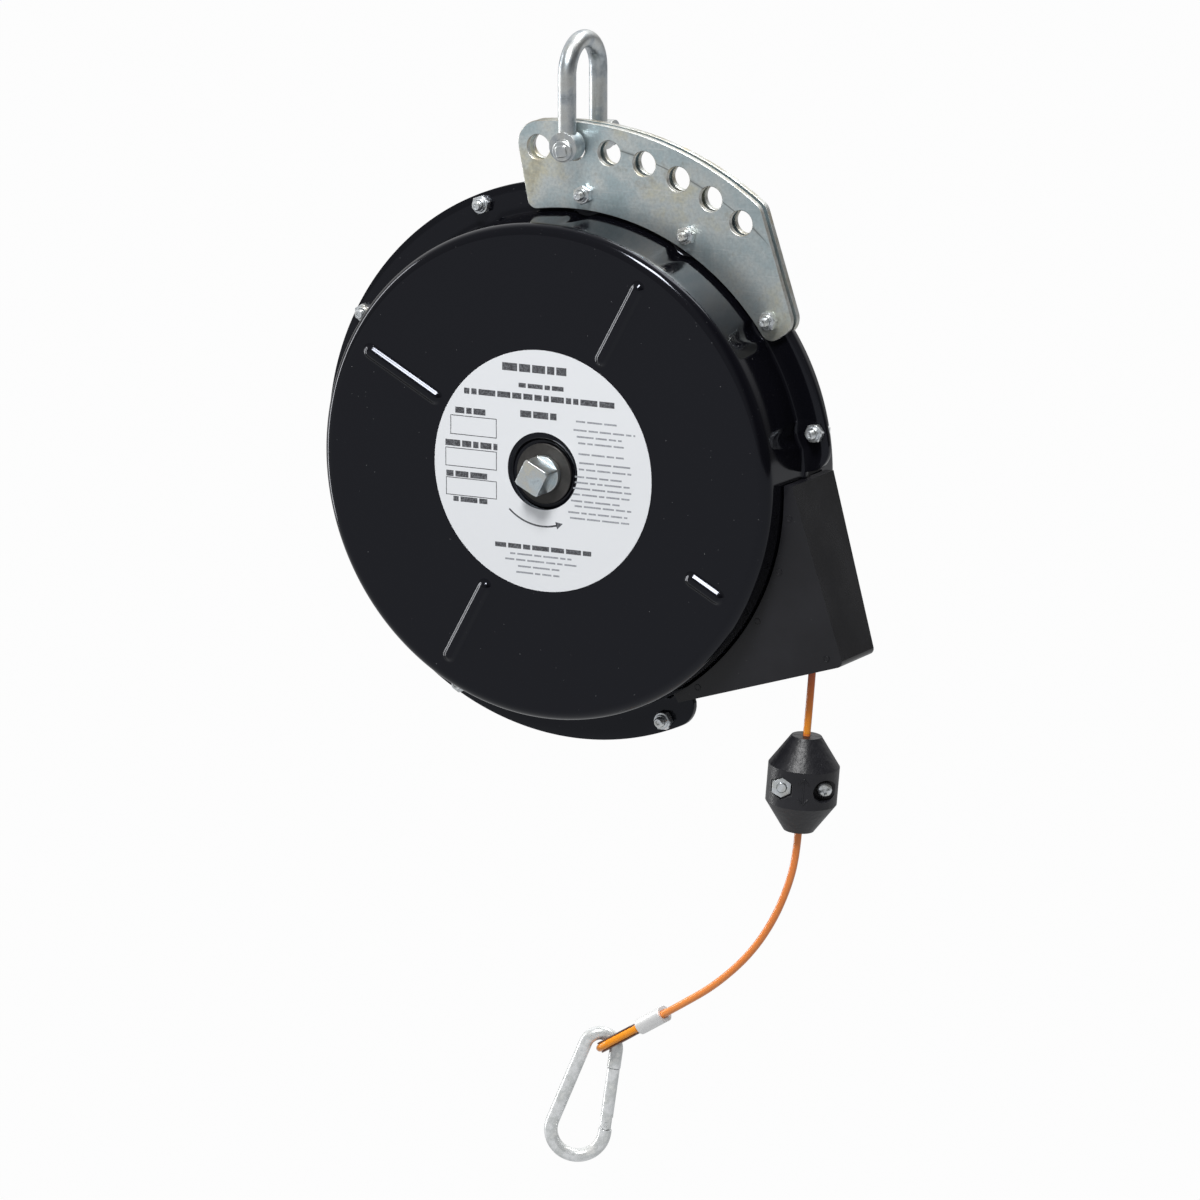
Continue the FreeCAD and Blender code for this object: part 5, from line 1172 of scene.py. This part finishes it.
@dataclass
class Label:
    """The round label's print: outlined boxes, bars for lines of text and a curved arrow."""

    finishes: Finishes
    depth: float = 38.05
    lift: float = 1.5
    layer: float = 0.03
    frame_width: float = 0.4
    line_half: float = 0.45
    word: float = 3.0
    letter: float = 1.1
    letters: int = 7
    space: float = 1.1
    shuffle: tuple[int, int, int] = (73, 41, 101)
    titles: tuple[Box, ...] = (
        (-22.8, 49.6, 13.6, 53.6), (-13.5, 41.6, 12.0, 43.9), (-44.5, 35.6, 41.5, 38.6),
        (-12.6, 26.6, 8.0, 30.0), (-49.6, 25.3, -32.4, 28.4), (-55.3, 8.2, -25.6, 11.4),
        (-54.8, -7.4, -29.6, -4.4), (-50.8, -20.0, -31.4, -17.4), (-27.0, -40.9, 27.6, -38.5),
    )
    boxes: tuple[Box, ...] = (
        (-52.4, 14.2, -26.0, 24.2), (-55.3, -2.2, -26.0, 7.4), (-55.0, -17.0, -26.0, -7.8),
    )
    lines: tuple[Triple, ...] = (
        (19.0, 42.0, 27.2), (17.6, 52.4, 22.8), (19.4, 44.8, 19.5), (20.2, 45.9, 16.3),
        (20.4, 45.9, 10.8), (20.8, 51.4, 6.3), (20.6, 50.2, 3.0), (18.4, 44.8, -0.9),
        (18.4, 49.2, -3.8), (17.4, 50.2, -6.8), (17.2, 49.2, -9.9), (16.2, 43.6, -13.3),
        (18.2, 50.2, -15.9), (14.6, 48.0, -19.3), (15.6, 49.0, -22.2),
        (-18.5, 16.4, -43.6), (-21.3, 19.2, -46.6), (-14.0, 9.6, -49.8), (-15.0, 9.6, -52.9),
    )

    def spot(self, across: float, up: float) -> Vector:
        """A point just in front of the label."""
        return on_axis(across, -self.depth - self.layer, up + self.lift)

    def bar(self, layer: Gathered, box: Box) -> None:
        """Add one flat bar."""
        left, low, right, high = box
        layer.add([self.spot(left, low), self.spot(right, low), self.spot(right, high),
                   self.spot(left, high)], [[0, 1, 2, 3]])

    def words(self, layer: Gathered, box: Box, seed: int) -> None:
        """Break a line into word-long bars of uneven length."""
        left, low, right, high = box
        here, turn = left, seed
        factor, step, cycle = self.shuffle
        while here < right - 1.0:
            turn = (turn * factor + step) % cycle
            size = min(self.word + turn % self.letters * self.letter, right - here)
            self.bar(layer, (here, low, here + size, high))
            here += size + self.space

    def arrow(self, layer: Gathered) -> None:
        """Add a curved arrow under the shaft."""
        radius, half, count, start, end = 28.2, 0.45, 24, 228.0, 287.0
        curve = [(start + (end - start) * step / count, reach) for step in range(count + 1)
                 for reach in (radius - half, radius + half)]
        head = [(286.0, radius - 1.9), (286.0, radius + 1.9), (294.0, radius)]
        faces = [[low, low + 1, low + 3, low + 2] for low in range(0, 2 * count, 2)]
        last = len(curve)
        layer.add([self.spot(reach * math.cos(math.radians(turn)),
                             reach * math.sin(math.radians(turn)))
                   for turn, reach in curve + head], faces + [[last, last + 1, last + 2]])

    def keep(self, name: str, layer: Gathered, finish: str) -> None:
        """Keep one layer of print, facing the front."""
        mesh = raw_mesh(name, layer.points, layer.faces)
        with edited(mesh) as shape:
            for face in shape.faces:
                face.normal_update()
                if face.normal.y > 0.0:
                    face.normal_flip()
        settle(new_piece(name, mesh, self.finishes[finish]), Body.HOUSING, (), "label_film")

    def build(self) -> None:
        """Make the dark print with the arrow, and the grey print."""
        dark, grey, width = Gathered(), Gathered(), self.frame_width
        for index, box in enumerate(self.titles):
            self.words(dark, box, 7 + index * 5)
        for left, low, right, high in self.boxes:
            for box in ((left, low, right, low + width), (left, high - width, right, high),
                        (left, low, left + width, high), (right - width, low, right, high)):
                self.bar(dark, box)
        self.arrow(dark)
        self.keep("label_dark_print", dark, "ink")
        for index, (left, right, up) in enumerate(self.lines):
            self.words(grey, (left, up - self.line_half, right, up + self.line_half),
                       3 + index * 11)
        self.keep("label_grey_print", grey, "grey_ink")


@dataclass
class Cord:
    """The coated cord: its route and its eye round the thimble."""

    finishes: Finishes
    radius: float = 1.9
    mouth: Pair = (132.4, -93.5)
    ball_top: Pair = (129.46, -126.6)
    ball_foot: Pair = (124.9, -178.0)
    route: tuple[Pair, ...] = (
        (123.83, -190.0), (119.6, -206.5), (110.6, -226.6), (97.3, -245.5),
        (79.2, -262.3), (62.3, -273.6), (48.4, -282.1),
    )
    ferrule: float = 15.5
    strand: float = 1.95
    rings: int = 20
    above_middle: Pair = (131.02, -110.5)
    eye: tuple[Pair, ...] = (
        (0.3, -2.05), (12.6, -6.55), (18.2, -8.73), (23.33, -7.06), (26.5, -2.70))
    carried: dict[str, tuple[str, ...]] = field(default_factory=lambda: {
        "upper": ("cord_clamped", "ball_stop_front_dressed", "ball_stop_rear_dressed",
                  "ball_cross_screws", "ball_nuts_dressed", "ball_moulded_arrow"),
        "lower": ("cord_eye", "cord_stub", "ferrule_dressed", "thimble_dressed"),
    })
    lines: dict[str, tuple[Piece, list[Vector]]] = field(default_factory=dict)

    def at(self, place: Pair) -> Vector:
        """A point of the cord's plane in metres."""
        return on_axis(place[0], 0.0, place[1])

    def ferrule_axis(self) -> tuple[Vector, Vector]:
        """The ferrule's start and the direction along it."""
        before, start = self.at(self.route[-2]), self.at(self.route[-1])
        return start, (start - before).normalized()

    def spline(self, name: str, points: Sequence[Vector]) -> list[Vector]:
        """Points along the smooth NURBS curve of a route."""
        curve = bpy.data.curves.new(name + "_route", "CURVE")
        curve.dimensions = "3D"
        curve.resolution_u = 14
        line = curve.splines.new("NURBS")
        line.points.add(len(points) - 1)
        for knot, point in zip(line.points, points):
            knot.co = (*point, 1.0)
        line.order_u = 3
        line.use_endpoint_u = True
        mesh = frozen(name + "_route", bpy.data.objects.new(name + "_route", curve))
        places = [vertex.co.copy() for vertex in mesh.vertices]
        bpy.data.meshes.remove(mesh)
        return places

    def tube(self, name: str, places: Sequence[Vector], finish: str, side: Vector) -> Piece:
        """A round tube along places, with its turn and its length in a UV map."""
        points: list[Vector] = []
        count = self.rings
        lengths = [self.length(places[:index + 1]) for index in range(len(places))]
        for index, place in enumerate(places):
            way = places[min(index + 1, len(places) - 1)] - places[max(index - 1, 0)]
            way.normalize()
            across = (side - way * side.dot(way)).normalized()
            other = way.cross(across)
            for step in range(count):
                turn = FULL_TURN * step / count
                out = across * math.cos(turn) + other * math.sin(turn)
                points.append(place + out * self.radius * MM)
        loops = stacked(len(places), count)
        turns = [corner for low, high in zip(lengths, lengths[1:]) for step in range(count)
                 for corner in ((step / count, low), ((step + 1) / count, low),
                                ((step + 1) / count, high), (step / count, high))]
        turns += [(0.0, 0.0)] * (2 * count)
        mesh = raw_mesh(name, points, bands(loops) + [loops[0][::-1], loops[-1]])
        layer = mesh.uv_layers.new(name="cord")
        layer.data.foreach_set("uv", [value for pair in turns for value in pair])
        smooth(mesh, 50.0)
        return new_piece(name, mesh, self.finishes[finish])

    def eye_points(self) -> list[Vector]:
        """Control points of the eye's line, from one strand round to the other."""
        start, along = self.ferrule_axis()
        origin = start + along * (self.ferrule * MM) + Vector((0.0, self.strand, 0.0)) * MM
        flat = [*self.eye, *((across, -aside) for across, aside in reversed(self.eye))]
        return [origin + along * (across * MM) + Vector((0.0, aside, 0.0)) * MM
                for across, aside in flat]

    def build(self) -> None:
        """Make the cord's stretches."""
        sideways = Vector((0.0, 1.0, 0.0))
        mouth, top, foot = self.at(self.mouth), self.at(self.ball_top), self.at(self.ball_foot)
        upper_line = self.spline("upper", [mouth, self.at(self.above_middle), top])
        upper = self.tube("cord_above_stop", upper_line, "cord_upper", sideways)
        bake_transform(upper)
        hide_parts("cord_upper")
        start, along = self.ferrule_axis()
        end = start + along * (self.ferrule * MM)
        control = [foot] + [self.at(place) for place in self.route[:-1]] + [end]
        lower_line = self.spline("lower", control)
        lower = self.tube("cord_below_stop", lower_line, "cord_lower", sideways)
        settle(lower, Body.CORD_END, ["cord_lower"])
        eye_line = self.spline("eye", self.eye_points())
        eye = self.tube("cord_eye", eye_line, "cord_eye", Vector((0.0, 0.0, 1.0)))
        settle(eye, Body.CORD_END, ["cord_loop"])
        self.lines = {"upper": (upper, upper_line), "lower": (lower, lower_line)}

    def declare(self) -> None:
        """Measure the length of both hanging stretches."""
        for name, far_end in (("upper", "object"), ("lower", "fitting")):
            piece, line = self.lines[name]
            self.length(line)

    @staticmethod
    def length(places: Sequence[Vector]) -> float:
        """Length along a line of places."""
        return sum((other - one).length for one, other in zip(places, places[1:]))


@dataclass
class CarriedNodes:
    """CAD pieces that stay or are only softened at their edges."""

    finishes: Finishes
    softened: dict[str, tuple[str, Body, float]] = field(default_factory=lambda: {
        "hanger_plate_front": ("hanger", Body.HOUSING, 0.35),
        "hanger_plate_rear": ("hanger", Body.HOUSING, 0.35),
        "cable_guide": ("guide", Body.HOUSING, 0.9),
        "shackle_bail": ("shackle", Body.SHACKLE, 0.5),
        "shackle_pin": ("shackle", Body.SHACKLE, 0.5),
        "front_bush": ("bush", Body.HOUSING, 0.3),
        "tension_shaft": ("shaft", Body.SHAFT, 0.35),
        "ball_stop_front": ("ball", Body.CORD_END, 0.7),
        "ball_stop_rear": ("ball", Body.CORD_END, 0.7),
        "ferrule": ("ferrule", Body.CORD_END, 0.35),
        "thimble": ("thimble", Body.CORD_END, 0.15),
        "hook_body": ("hook", Body.HOOK, 0.2),
        "hook_gate": ("hook", Body.GATE, 0.25),
        "leaf_clamp": ("dark_steel", Body.HOUSING, 0.4),
        "ratchet_wheel": ("dark_steel", Body.SHAFT, 0.25),
        "ball_nuts": ("fastener", Body.CORD_END, 0.3),
    })
    plain: dict[str, str] = field(default_factory=lambda: {
        "label_disc": "label", "rear_bush": "bush", "cord_lead": "cord_upper",
        "cord_clamped": "cord_lower", "cord_stub": "cord_lower", "wound_cord": "cord_upper",
        "clamp_screws": "fastener", "release_leaf": "spring", "wheel_key": "dark_steel",
        "spring_arbor": "dark_steel", "arbor_key": "dark_steel",
        "retaining_ring_front": "dark_steel", "retaining_ring_rear": "dark_steel",
        "drum": "drum", "drum_lid": "drum",
        "lid_screws": "fastener", "drum_bush_front": "bronze", "drum_bush_rear": "bronze",
        "power_spring": "spring", "spring_anchor_pin": "dark_steel", "gate_pin": "hook",
        "gate_spring": "spring",
    })
    # Faces of the guide whose normal has more than this along X take the darker copy of its
    # plastic, painted shade.
    guide_side: float = 0.75

    def build(self) -> None:
        """Dress every carried node."""
        for node, (finish, body, width) in self.softened.items():
            edge = self.finishes["edge"] if finish == "hanger" else None
            piece = refined(node, self.finishes[finish], body, width, edge)
            # The guide's right-facing faces take the darker copy of its plastic: painted shade.
            if node == "cable_guide":
                piece.data.materials.append(self.finishes["guide_side"])
                for face in piece.data.polygons:
                    face.material_index = int(face.normal.x > self.guide_side)
        for node, finish in self.plain.items():
            for slot in frame["nodes"][node].material_slots:
                slot.material = self.finishes[finish]


@dataclass
class BallStopTrim:
    """Cross-slotted screws of the ball stop and its moulded double arrow."""

    finishes: Finishes
    top: Pair = (129.46, -126.6)
    foot: Pair = (124.9, -178.0)
    turn: float = 27.9
    out: float = 10.75
    seat: float = 8.55
    head: float = 3.8
    head_height: float = 2.8
    slot_reach: float = 2.55
    slot_half: float = 0.8
    slot_depth: float = 2.2
    slot_lean: float = 20.0
    shank: float = 2.5
    shank_end: float = 13.35
    radius: float = 18.0
    arrow: float = 6.6
    barb: float = 2.4
    line: float = 0.42

    def placing(self) -> Matrix:
        """Own X across, Y along the cord and Z towards the front, in metres."""
        top, foot = (on_axis(across, 0.0, up) for across, up in (self.top, self.foot))
        along = top - foot
        lean = Vector((0.0, 0.0, 1.0)).rotation_difference(along.normalized()).to_matrix()
        basis = lean @ Matrix.Rotation(math.radians(self.turn), 3, "Z")
        columns = [basis @ Vector(way) for way in ((1, 0, 0), (0, 0, 1), (0, -1, 0))]
        place = Matrix(columns).transposed().to_4x4()
        return Matrix.Translation((top + foot) / 2) @ place

    def slot(self, turn: float, share: float) -> float:
        """Reach of the cross slot's outline in one direction."""
        along, aside = abs(math.cos(turn)) + 1e-9, abs(math.sin(turn)) + 1e-9
        reach, half = self.slot_reach * share, self.slot_half
        return max(min(reach / along, half / aside), min(reach / aside, half / along))

    def screw_head(self, shape: bmesh.types.BMesh, place: Matrix) -> None:
        """A round head with a sunk cross slot, closed all round."""
        high, lean = self.head_height, math.radians(self.slot_lean)
        corner, quarter = math.atan2(self.slot_half, self.slot_reach), math.pi / 2
        turns = [quarter * index + part for index in range(4)
                 for part in (-corner, 0.0, corner, 0.3, 0.55, quarter / 2, quarter - 0.55,
                              quarter - 0.3)]
        levels = [([radius] * len(turns), up) for radius, up in (
            (self.head - 0.1, 0.0), (self.head, 0.2), (self.head, high - 0.9),
            (self.head - 0.25, high - 0.45), (self.head - 0.8, high - 0.12),
            (self.head - 1.2, high))]
        levels += [([self.slot(turn, share) for turn in turns], high - down)
                   for share, down in ((1.0, 0.02), (0.94, 0.2), (0.85, self.slot_depth))]
        rings = [[shape.verts.new(place @ (Vector((
            reach * math.cos(turn + lean), reach * math.sin(turn + lean), up)) * MM))
            for turn, reach in zip(turns, reaches)] for reaches, up in levels]
        centre = shape.verts.new(place @ (Vector((0.0, 0.0, high - self.slot_depth - 0.2)) * MM))
        for face in [*bands(rings), rings[0][::-1], *bands([rings[-1], [centre] * len(turns)])]:
            shape.faces.new(face)

    def screws(self) -> None:
        """Both screws, one with its head in front and one with its head behind."""
        name, placing = "ball_cross_screws", self.placing()
        shape = bmesh.new()
        for across in (1, -1):
            flip = Matrix.Rotation(0.0 if across > 0 else math.pi, 4, "Y")
            shift = Matrix.Translation(Vector((self.out * across, 0.0, 0.0)) * MM)
            seat = Matrix.Translation(Vector((0.0, 0.0, self.seat)) * MM)
            place = placing @ shift @ flip
            self.screw_head(shape, place @ seat)
            points, faces = lathe([
                (0.0, self.seat + 0.3), (self.shank, self.seat + 0.3),
                (self.shank, 0.5 - self.shank_end), (self.shank - 0.4, -self.shank_end),
                (0.0, -self.shank_end)], 32, Vector(), Vector((0.0, 0.0, 1.0)))
            corners = [shape.verts.new(place @ point) for point in points]
            for face in faces:
                shape.faces.new([corners[index] for index in face])
        bmesh.ops.recalc_face_normals(shape, faces=shape.faces)
        mesh = bpy.data.meshes.new(name)
        shape.to_mesh(mesh)
        shape.free()
        smooth(mesh, 40.0)
        settle(new_piece(name, mesh, self.finishes["fastener"]), Body.CORD_END, ["ball_screws"])

    def skin(self, across: float, along: float) -> Vector:
        """A point on the band's surface."""
        return Vector((across, along, math.sqrt(self.radius ** 2 - across ** 2))) * MM

    def arrows(self) -> None:
        """The double arrow, as thin ridges half sunk in the band."""
        strokes = [(self.skin(0.0, -self.arrow), self.skin(0.0, self.arrow))]
        for end in (-1, 1):
            tip = self.skin(0.0, self.arrow * end)
            for side in (-1, 1):
                strokes.append((tip, self.skin(self.barb * side, (self.arrow - 2.7) * end)))
        drawn, place, line = Gathered(), self.placing(), self.line
        for start, end in strokes:
            way = end - start
            reach = way.length / MM
            soft = line * 0.7
            points, faces = lathe([(0.0, -line), (soft, -soft), (line, 0.0), (line, reach),
                                   (soft, reach + soft), (0.0, reach + line)], 10, start, way)
            drawn.add([place @ point for point in points], faces)
        name = "ball_moulded_arrow"
        piece = new_piece(name, drawn.mesh(name, 60.0), self.finishes["ball"])
        settle(piece, Body.CORD_END, (), "ball_plastic")

    def build(self) -> None:
        """Make the screws and the arrow."""
        self.screws()
        self.arrows()


@dataclass
class GuideMarks:
    """Small round marks of the moulding's ejector pins, on both broad faces of the guide."""

    finish: Material
    places: tuple[Pair, ...] = ((131.0, -5.6), (131.0, -18.0), (131.0, -30.8),
                                               (131.0, -52.6), (170.9, -29.0))
    ends: Pair = (114.4, 23.0)
    corner: Pair = (180.2, 17.75)
    rim: float = 1.75
    sunk: float = 0.5

    def build(self) -> None:
        """Make every mark in one piece."""
        slope = (self.ends[1] - self.corner[1]) / (self.corner[0] - self.ends[0])
        middle = math.radians(GUIDE_ANGLE)
        rim, low, high = self.rim, 0.1, 0.28
        profile = [(0.0, low), (rim - 0.6, low), (rim - 0.45, high), (rim - 0.15, high),
                   (rim, low), (rim, -self.sunk), (0.0, -self.sunk)]
        marks = Gathered()
        for side in Side:
            way = Vector((slope * math.cos(middle), side.value, slope * math.sin(middle)))
            for radius, angle in self.places:
                away = radius * math.cos(math.radians(angle) - middle) - self.ends[0]
                half = self.ends[1] - slope * away
                marks.add(*lathe(profile, 24, polar(radius, angle, side.value * half), way))
        name = "guide_ejector_marks"
        piece = new_piece(name, marks.mesh(name, 40.0), self.finish)
        settle(piece, Body.HOUSING, (), slot_of("cable_guide"))


@dataclass
class ShacklePinEnd:
    """The hammered end of the shackle's pin: a round step and a rounded square on it.

    A level has its half width, its depth behind the pin's end and its squareness, 2 when round.
    """

    finish: Material
    height: float = -49.1
    lean: float = 12.0
    sides: int = 32
    levels: tuple[Triple, ...] = (
        (5.3, 0.4, 2.0), (5.3, -0.8, 2.0), (4.9, -1.1, 2.0), (3.5, -1.1, 2.4),
        (3.0, -1.2, 5.0), (3.0, -1.9, 5.0), (2.6, -2.2, 5.0))

    def build(self) -> None:
        """Make the end on the front of the CAD pin."""
        front = min(vertex.co.y for vertex in frame["nodes"]["shackle_pin"].data.vertices)
        centre, lean = Vector((0.0, 0.0, self.height)) * MM, math.radians(self.lean)
        points: list[Vector] = []
        for half, depth, corner in self.levels:
            for step in range(self.sides):
                turn = FULL_TURN * step / self.sides
                across, up = math.cos(turn), math.sin(turn)
                reach = half / (abs(across) ** corner + abs(up) ** corner) ** (1.0 / corner)
                out = Vector((reach * (across * math.cos(lean) - up * math.sin(lean)), 0.0,
                              reach * (across * math.sin(lean) + up * math.cos(lean)))) * MM
                points.append(centre + out + Vector((0.0, front + depth * MM, 0.0)))
        loops = stacked(len(self.levels), self.sides)
        name = "shackle_pin_square"
        mesh = mesh_of(name, points, bands(loops) + [list(loops[0]), list(loops[-1])])
        settle(new_piece(name, mesh, self.finish), Body.SHACKLE, (), "shackle_steel")


@dataclass
class Studio:
    """Camera, lamps, world and pale floor; the shifts and the label's centre in millimetres."""

    azimuth: float = 27.9
    elevation: float = 12.4
    distance: float = 5.0
    lens: float = 300.0
    shift_right: float = 28.65
    shift_up: float = -64.425
    label_centre: Triple = (0.0, -42.8, -207.99)
    lamps: dict[str, tuple[Triple, Pair, float]] = field(default_factory=lambda: {
        "key": ((0.2, -1.15, 1.35), (0.46, 0.46), 38.0),
        "left_strip": ((-2.0, -0.25, -0.1), (0.28, 1.7), 17.0),
        "top": ((0.45, 0.75, 1.6), (1.1, 1.1), 20.0),
    })
    lit_point: Triple = (0.0, 0.0, -0.25)
    floor: float = -2.70
    floor_reach: float = 30.0
    dim: float = 0.34

    def axes(self) -> tuple[Vector, Vector, Vector]:
        """Right, up and backward directions of the camera."""
        turn, tilt = math.radians(self.azimuth), math.radians(self.elevation)
        right = Vector((math.cos(turn), math.sin(turn), 0.0))
        up = Vector((-math.sin(turn) * math.sin(tilt), math.cos(turn) * math.sin(tilt),
                     math.cos(tilt)))
        return right, up, right.cross(up)

    def camera(self) -> None:
        """Place the camera at the photograph's angle."""
        right, up, back = self.axes()
        aim = Vector(self.label_centre) * MM
        aim += right * (self.shift_right * MM) + up * (self.shift_up * MM)
        lens = bpy.data.cameras.new("camera")
        lens.lens = self.lens
        lens.sensor_width = 36.0
        lens.sensor_fit = "HORIZONTAL"
        lens.clip_end = 60.0
        eye = bpy.data.objects.new("camera", lens)
        bpy.context.scene.collection.objects.link(eye)
        eye.matrix_world = Matrix((right, up, back)).transposed().to_4x4()
        eye.location = aim + back * self.distance
        bpy.context.scene.camera = eye

    def lamp(self, name: str, place: Triple, size: Pair, power: float) -> None:
        """A soft area lamp aimed at the middle of the balancer."""
        light = bpy.data.lights.new(name, "AREA")
        light.shape = "RECTANGLE"
        light.size, light.size_y = size
        light.energy = power
        thing = bpy.data.objects.new(name, light)
        bpy.context.scene.collection.objects.link(thing)
        spot = Vector(place)
        aim = Vector(self.lit_point) - spot
        turned = aim.to_track_quat("-Z", "Y").to_matrix().to_4x4()
        thing.matrix_world = Matrix.Translation(spot) @ turned

    def world(self) -> None:
        """Even light, with a white surround for the camera and a gentler one for gloss."""
        world = bpy.data.worlds.new("studio")
        world.use_nodes = True
        bpy.context.scene.world = world
        air = Nodes(world.node_tree)
        white = (1.0, 1.0, 1.0)
        path = air.node("ShaderNodeLightPath")
        place = air.node("ShaderNodeTexCoord").outputs["Generated"]
        split = air.node("ShaderNodeSeparateXYZ", Vector=place)
        behind = (air.signal(split, "Y").step(-0.35, 0.45)
                  * air.signal(split, "Z").step(-0.02, 0.40))
        aside = air.signal(split, "X").step(0.75, 0.1, 0.12)
        gloss = air.node("ShaderNodeBackground", Color=white,
                         Strength=(behind * (1.0 - self.dim) + self.dim) * aside)
        light = air.node("ShaderNodeBackground", Color=(0.95, 0.97, 1.0), Strength=0.42)
        shown = air.node("ShaderNodeBackground", Color=white, Strength=1.0)
        lit = air.between(path.outputs["Is Glossy Ray"], light, gloss)
        out = air.node("ShaderNodeOutputWorld")
        air.feed(out.inputs["Surface"], air.between(self.seen(air, path), lit, shown).outputs[0])

    @staticmethod
    def seen(nodes: Nodes, path: Node) -> Signal:
        """1 for what the camera sees straight or through glass, 0 for reflections and light."""
        return (nodes.signal(path, "Is Camera Ray")
                + nodes.signal(path, "Is Transmission Ray")).lowest(1.0)

    def ground(self) -> None:
        """A pale floor far below, white to the camera apart from the soft shadow."""
        far = self.floor_reach
        points = [(x, y, self.floor) for x, y in ((-far, -far), (far, -far), (far, far),
                                                  (-far, far))]
        paint = Shader("pale_floor")
        path = paint.node("ShaderNodeLightPath")
        seen = self.seen(paint, path) + paint.signal(path, "Is Glossy Ray") * self.dim
        tone = paint.blend(paint.noise(3.0, 2.0) * 0.2, (0.86, 0.86, 0.86), (0.84, 0.84, 0.84))
        matt = paint.node("ShaderNodeBsdfDiffuse", Color=tone)
        glow = paint.node("ShaderNodeEmission", Color=(1.0, 1.0, 1.0), Strength=1.0)
        finish = paint.closed(paint.between(seen.lowest(1.0) * 0.97, matt, glow))
        new_piece("floor", raw_mesh("floor", points, [(0, 1, 2, 3)]), finish)

    def build(self) -> None:
        """Set up the studio."""
        self.camera()
        self.world()
        for name, (place, size, power) in self.lamps.items():
            self.lamp(name, place, size, power)
        self.ground()
        bpy.context.scene.view_settings.view_transform = "Standard"


def main() -> None:
    """Build the studio and every sub-assembly in turn."""
    logging.basicConfig(level=logging.INFO, format="%(name)s: %(message)s")
    Studio().build()
    finishes = Finishes()
    cord = Cord(finishes)
    cord.build()
    for side in Side:
        PressedPan(side, finishes["paint"]).build()
    Fasteners(finishes, ScatterTree(), ThreadTree()).build()
    Label(finishes).build()
    CarriedNodes(finishes).build()
    BallStopTrim(finishes).build()
    GuideMarks(finishes["guide"]).build()
    ShacklePinEnd(finishes["shackle"]).build()
    cord.declare()
    bpy.context.view_layer.update()


def plain(box: Iterable[Iterable[float]]) -> list[list[float]]:
    """A box as plain lists of numbers."""
    return [[round(float(value), 6) for value in corner] for corner in box]


if __name__ == "__main__":
    main()
